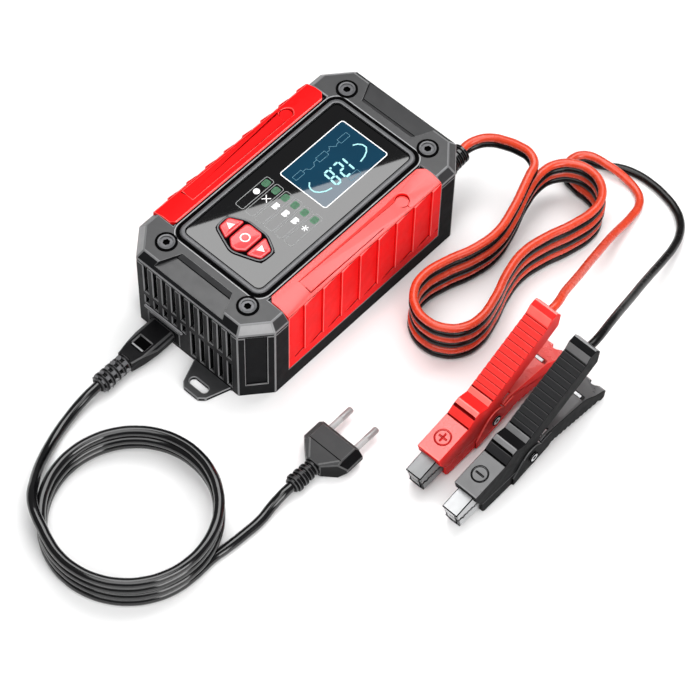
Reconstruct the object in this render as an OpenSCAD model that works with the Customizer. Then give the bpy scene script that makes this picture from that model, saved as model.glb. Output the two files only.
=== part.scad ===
// Car battery charger with display, moulded mains lead and two battery clamps.
// Millimetres. +X across the case, +Y from the mains inlet to the DC outlet, +Z up.
// The origin is the centre of the case's flat underside.

/* [Case] */
// Width of the moulded case across X
body_w = 104; // [100:0.5:108]
// Length of the moulded case along Y
body_l = 180; // [176:0.5:184]
// Height of the case from its underside to the top face
body_h = 65; // [62:0.5:70]
// Width taken by each corner chamfer along X
corner_x = 13.5; // [11:0.5:15]
// Length taken by each corner chamfer along Y
corner_y = 16; // [13:0.5:18]
// Wall thickness of the case and the cover
wall = 2.5; // [2:0.1:3]
// Height of the cover, measured down from the top face to the parting line
cover_h = 7.5; // [7:0.1:8]
// How far the bevel round the top face comes in and drops
bevel = 4.5; // [3.5:0.1:5]
// Distance of the four case screws from the long sides
screw_in_x = 21; // [20:0.2:22]
// Distance of the four case screws from the ends
screw_in_y = 16.5; // [15.5:0.1:17]
// Shank radius of the case screws
screw_r = 1.6; // [1.4:0.1:1.8]

/* [Trims] */
// Thickness of the red trim on the side face
trim_t = 1.2; // [1:0.1:1.4]
// Length of each red trim along Y
trim_l = 125; // [120:0.5:127]
// Height of the lower edge of the trims above the underside
trim_z = 12; // [8:0.5:16]
// Number of overlapping panels on each trim
trim_count = 8; // [7:1:8]
// Length of one panel along Y
trim_panel = 15; // [14:0.1:15.1]

/* [Vents and tabs] */
// Number of ventilation slots across the front
vent_count = 10; // [8:2:10]
// Spacing of the ventilation slots
vent_pitch = 7.1; // [6.6:0.1:7.4]
// Width of one ventilation slot
vent_w = 3; // [2.4:0.1:3.6]
// Thickness of the mounting tabs
tab_t = 3; // [2.5:0.1:4]
// Distance of each tab's slot from the middle along X
tab_x = 18.5; // [17:0.5:20]
// How far each tab reaches out from the case
tab_l = 18; // [16:0.5:20]
// Length of each tab's slot
slot_l = 13; // [11:0.5:15]
// Width of each tab's slot
slot_w = 5; // [4.4:0.1:5.6]

/* [Display and keypad] */
// Width of the display surround
bezel_w = 64; // [63:0.5:65]
// Length of the display surround
bezel_l = 131; // [129:0.5:133]
// Width of the surround's frame
bezel_rim = 3; // [2.6:0.1:3.4]
// Height of the surround above the top face
bezel_up = 1.2; // [0.8:0.1:1.6]
// Thickness of the clear lens
lens_t = 2.4; // [2:0.1:2.6]
// Width of the liquid crystal window
lcd_w = 35; // [33:0.5:37]
// Length of the liquid crystal window
lcd_l = 52; // [50:0.5:54]
// Travel of the three buttons
button_travel = 0.8; // [0.5:0.1:0.9]
// Height of the buttons above the keypad surround
button_up = 0.9; // [0.6:0.1:1.4]
// Gap round each button
button_gap = 0.25; // [0.2:0.05:0.4]

/* [Mains lead] */
// Diameter of the mains cord
mains_d = 6; // [5.5:0.1:6.3]
// Radius of the coil in the mains cord
coil_r = 48.4; // [46:0.2:49]
// Number of turns in the coil
coil_turns = 3.31; // [3.31:0.01:3.31]
// Step between the layers of the coil
coil_step = 6.5; // [6.45:0.05:7]
// Width of the plug body
plug_w = 33; // [32:0.1:35]
// Thickness of the plug body
plug_t = 14; // [13:0.1:15]
// Radius of the two plug pins
pin_r = 2; // [1.9:0.05:2.1]
// Length of the two plug pins
pin_l = 19; // [18:0.5:20]
// Distance between the two plug pins
pin_gap = 19; // [18:0.1:20]

/* [Battery leads] */
// Diameter of each battery conductor
lead_d = 5; // [4.6:0.1:5.1]
// Height between the red and the black conductor
lead_step = 5.3; // [5.3:0.05:5.5]
// Height between the loops of the hank
hank_step = 10.8; // [10.8:0.1:11.4]
// Half of the hank's width at its waist
hank_waist = 10; // [9:0.5:12]
// Loop radius at the far end of the hank
hank_far = 20.5; // [19.5:0.5:21.5]
// Loop radius at the near end of the hank
hank_near = 21.5; // [20.5:0.5:22]

/* [Clamps] */
// Width of each battery clamp's shells
clamp_w = 15.6; // [15.4:0.1:15.8]
// Width over the lever's cheeks at the pivot
cheek_w = 17.9; // [17.7:0.1:18.4]
// Wall thickness of the clamp shells
clamp_wall = 1.9; // [1.7:0.1:2]
// Distance of the pivot from the jaw tips
pivot_a = 57; // [56.8:0.1:57.2]
// Height of the pivot
pivot_z = 15; // [14.9:0.1:15.1]
// Radius of the pivot pin
pivot_r = 2; // [1.8:0.1:2.1]
// Width of the steel jaws
jaw_w = 10.4; // [10:0.1:10.8]
// Sheet thickness of the steel jaws
jaw_t = 1.2; // [1:0.1:1.3]
// Wire diameter of the clamp springs
spring_wire = 1.2; // [1:0.1:1.2]

/* [Electronics] */
// Thickness of the circuit boards
pcb_t = 1.6; // [1.2:0.1:2]
// Outer size of the square fan
fan_size = 40; // [39:0.5:41]
// Depth of the fan
fan_t = 9.5; // [8.5:0.1:9.6]

/* [Hidden] */
eps = 0.01;
fit = 0.05;
smooth = 48;
split_z = body_h - cover_h;
shoulder_z = body_h - 5;
half_w = body_w / 2;
half_l = body_l / 2;
screw_x = half_w - screw_in_x;
screw_y = half_l - screw_in_y;
deep = 40;
// trims
trim_y0 = -trim_l / 2 - 0.5;
trim_y1 = trim_l / 2 - 0.5;
trim_in = 36;
trim_raise = 0.8;
trim_sink = 0.7;
trim_top = body_h + 0.6;
shelf_y0 = trim_y0 + 20;
shelf_y1 = trim_y1 - 25;
// heights inside the case
board_z = 5;
board_top = board_z + pcb_t;
board_half = half_w - wall - 3.5;
board_screw_x = board_half - 8;
sink_x = board_half - 4;
fin_l = 5;
fuse_x = board_half - 10;
lens_top = body_h + 0.4;
lens_z = lens_top - lens_t;
lcd_h = 5;
dpcb_top = lens_z - lcd_h;
dpcb_z = dpcb_top - pcb_t;
keypad_top = lens_top + 0.8;
button_top = keypad_top + button_up;
button_z = lens_z + 0.35;
switch_top = button_z - button_travel - fit;
led_x = [-18.5, -11, -3.7, 3.7, 11, 18.5];
led_y = -7;
led_r = 1.5;
lcd_y = 29;
key_mid = -0.5;
keypad_pts = [[-18, -48], [-18.5, -38], [-10, -33.5], [-7, -32.5], [6, -32.5], [9, -33.5],
    [17.5, -38], [17, -48], [8, -51.5], [1, -54], [-2, -54], [-9, -51.5]];
up_pts = [[-16.6, -46.8], [-17, -38.9], [-9.4, -35], [-8.2, -35.6], [-8.2, -49.4], [-9.2, -50]];
enter_pts = [[-6.9, -48.6], [-6.9, -36], [-5, -34.1], [4, -34.1], [5.9, -36], [5.9, -48.6],
    [1.2, -52.4], [-2.2, -52.4]];
switch_xy = [[-12.5, -42.5], [-0.5, -43], [11.5, -42.5]];
// mains side
inlet_x = corner_x + 19 - half_w;
inlet_z = 8.5;
inlet_w = 24;
inlet_h = 12;
inlet_depth = 11.8;
socket_depth = 10.8;
boss_r0 = 3.8;
pin_reach = 24;
socket_r = 4.1;
plugin_r = 3.9;
core_gap = 8.6;
conn_l = 52;
conn_w = 18;
conn_h = 9;
conn_end = -half_l - conn_l;
// Europlug
plug_x = 102.5;
plug_z = plug_t / 2;
plug_y = -75;
plug_neck = -98;
plug_end = -115;
pin_seat = 8;
pin_root = pin_r - 0.4;
// coil of the mains cord
coil_c = [53, -189];
coil_z = mains_d / 2 + 0.1;
coil_zig = 1.2;
coil_sides = 6;
coil_rings = 24;
straight = 6;
// battery lead
gland_x = 32;
gland_z = 33;
gland_l = 14;
gland_end = half_l + gland_l;
hank_c = 93;
hank_y0 = 26;
hank_y1 = 128;
hank_z = lead_d / 2 + 0.1;
hank_zig = 1.2;
hank_start = 3;
hank_stop = 71;
lead_straight = 5;
// clamps: jaw tip and heading
red_tip = [150.3, -67.9];
red_turn = 0.3;
black_tip = [179.8, -71.5];
black_turn = -0.4;
cable_a = 106.4;
cable_z = 57;
clamp_in = clamp_w - 2 * clamp_wall;
cheek_gap = 0.15;
cheek_t = (cheek_w - clamp_w) / 2 - cheek_gap;
boss_r = 8;
cheek_r = 9;
jaw_slope = 13.4;
spring_r = pivot_r + 0.35 + spring_wire / 2;
spring_step = spring_wire + 0.45;
spring_turns = 4.48;
spring_start = 135;
spring_leg = 20;
spring_stub = 9;
// fan
fan_x = corner_x + 24.5 - half_w;
fan_z = 28;
fan_y = half_l - wall - fan_t;
rotor_r = fan_size / 2 - 1.7;
hub_r = 9;

case_grey = "#2f3032";
trim_red = "#e3211c";
lens_black = "#0b0c10";
steel = "#c9ccd0";
copper = "#b46a33";
board_green = "#1f5a3a";
cord_black = "#18181a";
lead_red = "#e8401f";
light_grey = "#c8c8c4";

// ---------- helpers ----------
function unit(v) = v / max(norm(v), 1e-9);
function inset_c(d) = corner_y * half_w + corner_x * (half_l - corner_y)
    - d * sqrt(corner_x * corner_x + corner_y * corner_y);
function side_y(d) = (inset_c(d) - corner_y * (half_w - d)) / corner_x;
function end_x(d) = (inset_c(d) - corner_x * (half_l - d)) / corner_y;
function plan_pts(d) = [
    [half_w - d, -side_y(d)], [half_w - d, side_y(d)],
    [end_x(d), half_l - d], [-end_x(d), half_l - d],
    [-half_w + d, side_y(d)], [-half_w + d, -side_y(d)],
    [-end_x(d), -half_l + d], [end_x(d), -half_l + d]];

module plan(d, z0, z1) {
    translate([0, 0, z0])
    linear_extrude(height = z1 - z0)
    polygon(plan_pts(d));
}

// a profile in (y, z) pushed across x, centred on x = 0
module across(pts, w) {
    rotate([90, 0, 90])
    translate([0, 0, -w / 2])
    linear_extrude(height = w)
    polygon(pts);
}

// a profile in (x, z) pushed along y from y0 to y1
module along(pts, y0, y1) {
    translate([0, y1, 0])
    rotate([90, 0, 0])
    linear_extrude(height = y1 - y0)
    polygon(pts);
}

module box(x0, x1, y0, y1, z0, z1) {
    translate([x0, y0, z0])
    cube([x1 - x0, y1 - y0, z1 - z0]);
}

module rod_y(r, x, z, y0, y1, n = smooth) {
    translate([x, y0, z])
    rotate([-90, 0, 0])
    cylinder(h = y1 - y0, r = r, $fn = n);
}

module rod_x(r, y, z, x0, x1, n = smooth) {
    translate([x0, y, z])
    rotate([0, 90, 0])
    cylinder(h = x1 - x0, r = r, $fn = n);
}

module rod_z(r, x, y, z0, z1, n = smooth) {
    translate([x, y, z0])
    cylinder(h = z1 - z0, r = r, $fn = n);
}

// rounded bar along y: a box between two round edges, flat faces above and below
module stadium_y(w, h, x, z, y0, y1) {
    box(x - w / 2 + h / 2, x + w / 2 - h / 2, y0, y1, z - h / 2, z + h / 2);
    rod_y(h / 2, x - w / 2 + h / 2, z, y0, y1);
    rod_y(h / 2, x + w / 2 - h / 2, z, y0, y1);
}

// round tube through a route, with one ring of corners at each point
function tangents(p) = [for (i = [0 : len(p) - 1])
    unit(i == 0 ? p[1] - p[0]
        : i == len(p) - 1 ? p[i] - p[i - 1]
        : unit(p[i + 1] - p[i]) + unit(p[i] - p[i - 1]))];
function carry(v, t) = unit(v - t * (v * t));
function normals(t) = [for (i = 0, n = carry([0, 0, 1], t[0]); i < len(t);
    i = i + 1, n = carry(n, t[min(i, len(t) - 1)])) n];
function ring(c, t, n, r, k) = [for (a = [0 : k - 1])
    c + r * (cos(360 * (a + 0.5) / k) * n + sin(360 * (a + 0.5) / k) * cross(t, n))];

module tube(p, d, k) {
    t = tangents(p);
    n = normals(t);
    m = len(p);
    grow = d / 2 / sqrt(cos(180 / k));
    pts = [for (i = [0 : m - 1]) each ring(p[i], t[i], n[i], grow, k)];
    sides = [for (i = [0 : m - 2]) for (a = [0 : k - 1])
        each [[i * k + a, (i + 1) * k + a, (i + 1) * k + (a + 1) % k],
            [i * k + a, (i + 1) * k + (a + 1) % k, i * k + (a + 1) % k]]];
    first = [for (a = [1 : k - 2]) [0, a, a + 1]];
    last = [for (a = [1 : k - 2]) [(m - 1) * k, (m - 1) * k + a + 1, (m - 1) * k + a]];
    polyhedron(points = pts, faces = concat(sides, first, last), convexity = 10);
}

// least distance between two stretches of a route that are not neighbours
function seg_gap(a, b, c, d) = let (
    u = b - a, v = d - c, w = a - c,
    uu = u * u, uv = u * v, vv = v * v, uw = u * w, vw = v * w,
    den = uu * vv - uv * uv,
    s0 = den < 1e-9 ? 0 : min(1, max(0, (uv * vw - vv * uw) / den)),
    t1 = min(1, max(0, (uv * s0 + vw) / vv)),
    s1 = min(1, max(0, (uv * t1 - uw) / uu)))
    norm(w + u * s1 - v * t1);
function route_gap(p, skip) = min([for (i = [0 : len(p) - 2 - skip]) for (j = [i + skip : len(p) - 2])
    seg_gap(p[i], p[i + 1], p[j], p[j + 1])]);
function pair_gap(p, q) = min([for (i = [0 : len(p) - 2]) for (j = [0 : len(q) - 2])
    seg_gap(p[i], p[i + 1], q[j], q[j + 1])]);
function swing(u) = abs((u - 2 * floor(u / 2)) - 1);
function ease(u) = u < 0 ? 0 : u > 1 ? 1 : u * u * (3 - 2 * u);
function shift(p, v) = [for (q = p) q + v];

// ---------- routes ----------
function coil_level(s) = floor(s) + max(0, min(1, 2 * (s - floor(s) - 0.44)));
function coil_at(s) = let (r = coil_r - coil_zig * swing(s + 0.31))
    [coil_c[0] + r * cos(-360 * s), coil_c[1] + r * sin(-360 * s), coil_z + coil_step * coil_level(s)];
coil_n = round(coil_turns * coil_rings);
coil_body = [for (i = [0 : coil_n]) coil_at(coil_turns * i / coil_n)];
coil_out_p = coil_at(0) + [0, straight, 0];
coil_in_dir = [sin(-360 * coil_turns), -cos(-360 * coil_turns), 0];
coil_in_p = coil_at(coil_turns) + straight * coil_in_dir;
coil_path = concat([coil_out_p], coil_body, [coil_in_p]);

mains_in_path = concat(
    [[inlet_x, conn_end, inlet_z], [inlet_x, conn_end - 8, inlet_z - 0.3]],
    [[inlet_x, -160, 6], [inlet_x + 1.5, -170, 3.8], [inlet_x + 4.5, -180, 3.1], [-12.5, -190, 3.6],
        [-6.5, -199.5, 5.6], [-1, -208, 9.6], [5, -216.6, 14.5], [12.9, -224.4, 19]],
    [coil_in_p + 8 * coil_in_dir - [0, 0, 0.2], coil_in_p]);
mains_out_path = [coil_out_p, coil_out_p + [0, 8, 0], [102, -164, 3.1], [103, -152, 3.1],
    [103.5, -140, 3.5], [plug_x, -130, 4.9], [plug_x, plug_end - 6, plug_z], [plug_x, plug_end, plug_z]];

function run_half(t, r0, r1, e) = hank_waist + e
    + (r0 + (r1 - r0) * t - hank_waist) * (0.5 + 0.5 * cos(360 * t));
function hank_level(j) = floor(j / 24) + ease((j - 24 * floor(j / 24) - 20) / 4);
function hank_xy(j, e) = let (k = j - 24 * floor(j / 24))
    k < 6 ? [hank_c - (hank_far + e) * cos(30 * k), hank_y1 + (hank_far + e) * sin(30 * k)]
    : k < 12 ? let (t = (k - 6) / 6)
        [hank_c + run_half(t, hank_far, hank_near, e), hank_y1 + (hank_y0 - hank_y1) * t]
    : k < 18 ? [hank_c + (hank_near + e) * cos(30 * (k - 12)),
        hank_y0 - (hank_near + e) * sin(30 * (k - 12))]
    : let (t = (k - 18) / 6)
        [hank_c - run_half(t, hank_near, hank_far, e), hank_y0 + (hank_y1 - hank_y0) * t];
function hank_at(j) = let (q = hank_xy(j, -hank_zig * swing((j + 2) / 24)))
    [q[0], q[1], hank_z + hank_step * hank_level(j)];
hank_body = [for (j = [hank_start : hank_stop]) hank_at(j)];
tail_dir = [-1, 0, 0];
head_dir = unit(hank_at(hank_stop) - hank_at(hank_stop - 1));
hank_tail_p = hank_at(hank_start) + lead_straight * tail_dir;
hank_head_p = hank_at(hank_stop) + lead_straight * head_dir;
black_hank_path = concat([hank_tail_p], hank_body, [hank_head_p]);
red_hank_path = shift(black_hank_path, [0, 0, lead_step]);

gland_low = gland_z - lead_step / 2;
black_exit_path = concat(
    [[gland_x, gland_end, gland_low], [gland_x, gland_end + 5, gland_low + 0.3]],
    [[34.5, 115.5, 31.6], [40, 120.8, 33], [48, 124, 34.4], [57, 125.8, 35.6], [65, 125.6, 36.2]],
    [hank_head_p + 6 * head_dir, hank_head_p]);
red_exit_path = shift(black_exit_path, [0, 0, lead_step]);

hairpin = [[82, 148.5], [77.2, 149.6], [73.2, 152.8], [71.2, 157.2], [71.2, 161.8], [73.2, 166.2],
    [77.2, 169.4], [82, 170.8]];
function low(p, z) = [for (q = p) [q[0], q[1], z]];
function clamp_at(tip, turn, a, z) = [tip[0] - a * sin(turn), tip[1] + a * cos(turn), z];
red_cable = clamp_at(red_tip, red_turn, cable_a, cable_z);
red_lead_in = clamp_at(red_tip, red_turn, cable_a + 8, cable_z + 0.6);
black_cable = clamp_at(black_tip, black_turn, cable_a, cable_z);
black_lead_in = clamp_at(black_tip, black_turn, cable_a + 8, cable_z + 0.4);
black_tail_path = concat(
    [hank_tail_p], low(hairpin, hank_z),
    [[88, 174.2, 2.6], [95, 178.6, 2.6], [104, 181.4, 2.6], [115, 182, 2.6], [126, 180.6, 2.6],
        [136, 177.6, 2.6], [144.7, 171.6, 3.4], [151.2, 162.2, 5.6], [155.4, 150.6, 9], [158.3, 137.6, 13.6],
        [161.2, 123.5, 19.4], [165, 107, 27.4], [169.3, 90.5, 36], [173.2, 75.3, 44.4], [177, 60.5, 51.8]],
    [black_lead_in, black_cable]);
red_tail_path = concat(
    [hank_tail_p + [0, 0, lead_step]], low(hairpin, hank_z + lead_step),
    [[88, 171.4, 7.8], [95, 172.6, 6.5], [102, 173.2, 4.6], [109, 172.6, 3], [115.5, 169.6, 2.6],
        [119.8, 163.5, 3], [121.8, 155, 4.4], [123.3, 146, 7], [124.9, 135, 11], [127.4, 123, 16],
        [130.4, 111.2, 21.6], [134.3, 97.5, 29.4], [138.7, 83.7, 38], [142.6, 70.6, 46], [146, 58.5, 52.8]],
    [red_lead_in, red_cable]);

function spring_at(u) = let (a = spring_start + 360 * u * spring_turns)
    [spring_step * spring_turns * (u - 0.5), pivot_a + spring_r * cos(a), pivot_z + spring_r * sin(a)];
function leg_dir(a, s) = s * [0, -sin(a), cos(a)];
spring_n = round(8 * spring_turns);
spring_stop = spring_start + 360 * spring_turns;
spring_body = [for (i = [0 : spring_n]) spring_at(i / spring_n)];
spring_path = concat([spring_body[0] + spring_leg * leg_dir(spring_start, -1)], spring_body,
    [spring_body[spring_n] + spring_stub * leg_dir(spring_stop, 1)]);

echo(coil_gap = route_gap(coil_path, 6) - mains_d);
echo(hank_gap = route_gap(black_hank_path, 6) - lead_d);
echo(hank_pair_gap = pair_gap(black_hank_path, red_hank_path) - lead_d);
echo(spring_gap = route_gap(spring_path, 4) - spring_wire);
echo(exit_over_hank = pair_gap(black_exit_path, [for (i = [0 : 60]) red_hank_path[i]]) - lead_d);
echo(tails_apart = pair_gap(black_tail_path, red_tail_path) - lead_d);
echo(red_tail_hank = pair_gap([for (i = [4 : 22]) red_tail_path[i]], black_hank_path) - lead_d);
echo(black_tail_hank = pair_gap([for (i = [4 : 22]) black_tail_path[i]], black_hank_path) - lead_d);

// ---------- case ----------
module tab_plan(s) {
    difference() {
        polygon([[s * (tab_x - 15), s * (-half_l + 2)], [s * (tab_x - 8.5), s * (-half_l - tab_l + 3)],
            [s * (tab_x - 5.5), s * (-half_l - tab_l)], [s * (tab_x + 5.5), s * (-half_l - tab_l)],
            [s * (tab_x + 9), s * (-half_l - tab_l + 3)], [s * (tab_x + 15), s * (-half_l + 2)]]);
        translate([s * (tab_x - slot_l / 2 + slot_w / 2), s * (-half_l - 11)])
        circle(r = slot_w / 2, $fn = smooth);
        translate([s * (tab_x + slot_l / 2 - slot_w / 2), s * (-half_l - 11)])
        circle(r = slot_w / 2, $fn = smooth);
        translate([s * tab_x, s * (-half_l - 11)])
        square([slot_l - slot_w, slot_w], center = true);
    }
}

function trim_section(o) = [[trim_in + o, body_h + 3], [trim_in + o, body_h - 2.2],
    [half_w - 2.6, split_z + 2.4], [half_w - trim_t, split_z + 1], [half_w - trim_t, trim_z], [half_w + 5, trim_z],
    [half_w + 5, body_h + 3]];

module trim_cut() {
    for (s = [0, 1])
    mirror([s, 0, 0])
    along(trim_section(0), trim_y0, trim_y1);
}

module corner_panels(depth) {
    for (sx = [-1, 1])
    for (sy = [-1, 1])
    translate([sx * (half_w - corner_x / 2), sy * (half_l - corner_y / 2), 0])
    rotate([0, 0, sx * sy * atan2(corner_y, corner_x) * -1])
    box(-6, 6, sy > 0 ? -depth : -deep, sy > 0 ? deep : depth, 10.5, split_z + 1);
}

module lower_case() {
    color(case_grey)
    difference() {
        union() {
            plan(0, 0, split_z);
            for (s = [-1, 1])
            linear_extrude(height = tab_t)
            tab_plan(s);
            box(-33.5, -4, -half_l - 1.6, -half_l + 1, 18.8, 20.4);
        }
        difference() {
            plan(wall, wall, split_z + 1);
            for (sx = [-1, 1])
            for (sy = [-1, 1])
            rod_z(boss_r0, sx * screw_x, sy * screw_y, 0, split_z);
            for (sx = [-1, 1])
            for (sy = [-1, 1])
            rod_z(3.4, sx * board_screw_x, sy * 50, 0, board_z);
        }
        trim_cut();
        for (sx = [-1, 1])
        for (sy = [-1, 1])
        rod_z(screw_r + fit, sx * screw_x, sy * screw_y, split_z - 24, split_z + 1);
        for (sx = [-1, 1])
        for (sy = [-1, 1])
        rod_z(1.3 + fit, sx * board_screw_x, sy * 50, 1, board_z + 1);
        corner_panels(1.2);
        for (i = [0 : vent_count - 1])
        translate([(i - (vent_count - 1) / 2) * vent_pitch - vent_w / 2, -half_l - 1, 0]) {
            translate([0, 0, 32.5])
            cube([vent_w, wall + 2, split_z - 31.5]);
            translate([0, 0, i < vent_count / 2 ? 21.2 : 4.5])
            cube([vent_w, wall + 2, i < vent_count / 2 ? 7 : 23]);
        }
        box(inlet_x - inlet_w / 2, inlet_x + inlet_w / 2, -half_l - 1, -half_l + wall + 1,
            inlet_z - inlet_h / 2, inlet_z + inlet_h / 2);
        rod_y(5 + fit, gland_x, gland_z, half_l - wall - 1, half_l + 1);
        for (i = [-3 : 3])
        box(fan_x + i * 5.2 - 1.3, fan_x + i * 5.2 + 1.3, half_l - wall - 1, half_l + 1,
            fan_z - sqrt(16.5 * 16.5 - i * i * 27), fan_z + sqrt(16.5 * 16.5 - i * i * 27));
        for (sx = [-1, 1])
        for (sz = [-1, 1])
        rod_y(1.3 + fit, fan_x + sx * 16, fan_z + sz * 16, half_l - wall - 1, half_l + 1);
    }
}

module end_recess(s) {
    intersection() {
        linear_extrude(height = deep * 2)
        polygon([[-26, s * (half_l - 2)], [-19, s * (half_l - 17)], [19, s * (half_l - 17)],
            [26, s * (half_l - 2)]]);
        across([[s * (half_l - 17), body_h - 0.2], [s * (half_l - 14), body_h - 1.9],
            [s * (half_l + 1), body_h - 3.3], [s * (half_l + 1), body_h + 1], [s * (half_l - 17), body_h + 1]], 60);
    }
}

module top_cover() {
    color(case_grey)
    difference() {
        union() {
            plan(0, split_z, shoulder_z);
            hull() {
                plan(0, shoulder_z, shoulder_z + eps);
                plan(bevel, body_h - eps, body_h);
            }
            for (sx = [-1, 1])
            for (sy = [-1, 1])
            rod_z(6, sx * screw_x, sy * screw_y, split_z, body_h + 0.5);
        }
        difference() {
            intersection() {
                plan(wall + 2, split_z - 1, body_h - wall);
                union() {
                    box(-trim_in + 2, trim_in - 2, 19 - half_l, half_l - 19, 0, body_h);
                    box(-trim_in + 2, trim_in - 2, -half_l, half_l, 0, body_h - 4.8);
                }
            }
            for (sx = [-1, 1])
            for (sy = [-1, 1])
            rod_z(5.2, sx * screw_x, sy * screw_y, 0, body_h);
            for (sx = [-1, 1])
            for (sy = [-1, 1])
            rod_z(2.4, sx * 31, sy * 46, dpcb_top, body_h);
        }
        box(-bezel_w / 2 + 2, bezel_w / 2 - 2, -bezel_l / 2 + 2, bezel_l / 2 - 2, body_h - wall - 1, body_h + 1);
        trim_cut();
        end_recess(1);
        end_recess(-1);
        for (sx = [-1, 1])
        for (sy = [-1, 1]) {
            rod_z(screw_r + fit, sx * screw_x, sy * screw_y, split_z - 1, body_h + 1);
            rod_z(4.3, sx * screw_x, sy * screw_y, body_h - 2.6, body_h + 1);
        }
    }
}

// panels that overlap like shingles: the near half of each stands proud and the far half is sunk
function panel_y(i) = trim_y1 - 8 - (trim_count - 1 - i) * trim_panel;
module panels(proud) {
    for (i = [proud ? 0 : -1 : trim_count - (proud ? 1 : 2)])
    translate([0, 0, trim_z + 8])
    linear_extrude(height = split_z - trim_z - 2.6)
    polygon(proud ? [[half_w - 0.6, panel_y(i)], [half_w + trim_raise, panel_y(i)],
        [half_w, min(trim_y1, panel_y(i) + trim_panel / 2)],
        [half_w - 0.6, min(trim_y1, panel_y(i) + trim_panel / 2)]]
        : [[half_w, panel_y(i) + trim_panel / 2],
        [half_w + 2, panel_y(i) + trim_panel / 2], [half_w + 2, min(trim_y1, panel_y(i) + trim_panel)],
        [half_w - trim_sink, min(trim_y1, panel_y(i) + trim_panel)]]);
}

module shelf(z0, z1, x0, x1) {
    translate([(x0 + x1) / 2, 0, 0])
    across([[shelf_y0, z0], [shelf_y0, trim_top - 0.4], [shelf_y1, trim_top - 2.2], [shelf_y1, z1]], x1 - x0);
}

module side_trim() {
    color(trim_red)
    difference() {
        union() {
            along([[trim_in, body_h - 2.2], [trim_in, trim_top - 0.3], [trim_in + 0.6, trim_top],
                [trim_in + 8.5, trim_top], [half_w - 0.7, trim_top - 2.4], [half_w, trim_top - 3.1], [half_w, trim_z],
                [half_w - trim_t, trim_z], [half_w - trim_t, split_z + 1], [half_w - 2.6, split_z + 2.4]],
                trim_y0, trim_y1);
            shelf(trim_top - 3, trim_top - 3, trim_in + 5, half_w - 2.6);
            panels(true);
        }
        panels(false);
        intersection() {
            shelf(body_h + 5, body_h + 5, trim_in + 2, half_w + 2);
            along([[trim_in + 3.8, body_h + 2], [trim_in + 4.2, trim_top], [trim_in + 6.4, body_h - 2.5],
                [half_w + 1, body_h - 2.5], [half_w + 1, body_h + 2]], shelf_y0, shelf_y1);
        }
        rod_z(4.2, trim_in + 8.4, shelf_y1, trim_top - 2.2, body_h + 5);
        linear_extrude(height = 2 * body_h)
        polygon([[trim_in - 1, trim_y0 - 1], [trim_in + 4, trim_y0 - 1], [trim_in - 1, trim_y0 + 4]]);
        linear_extrude(height = 2 * body_h)
        polygon([[trim_in - 1, trim_y1 + 1], [trim_in + 5, trim_y1 + 1], [trim_in - 1, trim_y1 - 5]]);
    }
}

module side_trim_right() {
    side_trim();
}

module side_trim_left() {
    mirror([1, 0, 0])
    side_trim();
}

// ---------- display ----------
module round_rect(w, l, r, z0, z1) {
    box(-w / 2 + r, w / 2 - r, -l / 2, l / 2, z0, z1);
    box(-w / 2, w / 2, -l / 2 + r, l / 2 - r, z0, z1);
    for (x = [-w / 2 + r, w / 2 - r], y = [-l / 2 + r, l / 2 - r])
    rod_z(r, x, y, z0, z1);
}

module display_bezel() {
    color(lens_black)
    difference() {
        union() {
            round_rect(bezel_w, bezel_l, 6.5, body_h, body_h + bezel_up);
            box(-bezel_w / 2 + 2, bezel_w / 2 - 2, -bezel_l / 2 + 2, bezel_l / 2 - 2, lens_z, body_h + eps);
        }
        round_rect(bezel_w - 2 * bezel_rim, bezel_l - 2 * bezel_rim, 4, lens_z - 1, body_h + 5);
        difference() {
            round_rect(bezel_w - 1.6, bezel_l - 1.6, 4.8, body_h + bezel_up - 0.5, body_h + 5);
            round_rect(bezel_w - 3.2, bezel_l - 3.2, 4.6, body_h, body_h + 6);
        }
    }
}

module display_lens() {
    color("#6b7078", 0.85)
    difference() {
        round_rect(bezel_w - 2 * bezel_rim, bezel_l - 2 * bezel_rim, 4, lens_z, lens_top);
        translate([0, 0, lens_z - 1])
        linear_extrude(height = lens_t + 2)
        polygon(keypad_pts);
    }
}

function grow(p, g) = [for (q = p) q + g * unit(q - centre(p))];
function centre(p) = [min([for (q = p) q[0]]) + max([for (q = p) q[0]]),
    min([for (q = p) q[1]]) + max([for (q = p) q[1]])] / 2;
function flip(p) = [for (i = [len(p) - 1 : -1 : 0]) [2 * key_mid - p[i][0], p[i][1]]];

module keypad_bezel() {
    color("#3a1214")
    difference() {
        translate([0, 0, lens_z])
        linear_extrude(height = keypad_top - lens_z)
        polygon(keypad_pts);
        translate([0, 0, lens_z - 1])
        linear_extrude(height = keypad_top - lens_z + 2) {
            polygon(grow(up_pts, button_gap));
            polygon(grow(flip(up_pts), button_gap));
            polygon(grow(enter_pts, button_gap));
        }
    }
}

module button(p) {
    color("#d8343a")
    difference() {
        translate([0, 0, button_z])
        linear_extrude(height = button_top - button_z)
        polygon(p);
        translate([centre(p)[0], centre(p)[1] + 0.6, button_top + 21.4])
        sphere(r = 22, $fn = 64);
    }
}

module up_button() {
    button(up_pts);
}

module enter_button() {
    button(enter_pts);
}

module down_button() {
    button(flip(up_pts));
}

module lcd_module() {
    color("#123a63")
    union() {
        box(-lcd_w / 2, lcd_w / 2, lcd_y - lcd_l / 2, lcd_y + lcd_l / 2, lens_z - 1.2, lens_z);
        box(-lcd_w / 2 - 2, lcd_w / 2 + 2, lcd_y - lcd_l / 2 - 1.5, lcd_y + lcd_l / 2 + 1.5, dpcb_top, lens_z - 1.2);
    }
}

module display_board() {
    color(board_green)
    difference() {
        box(-33, 33, -54, 57, dpcb_z, dpcb_top);
        for (sx = [-1, 1])
        for (sy = [-1, 1])
        rod_z(1.2, sx * 31, sy * 46, dpcb_z - 1, dpcb_top + 1);
    }
}

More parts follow.
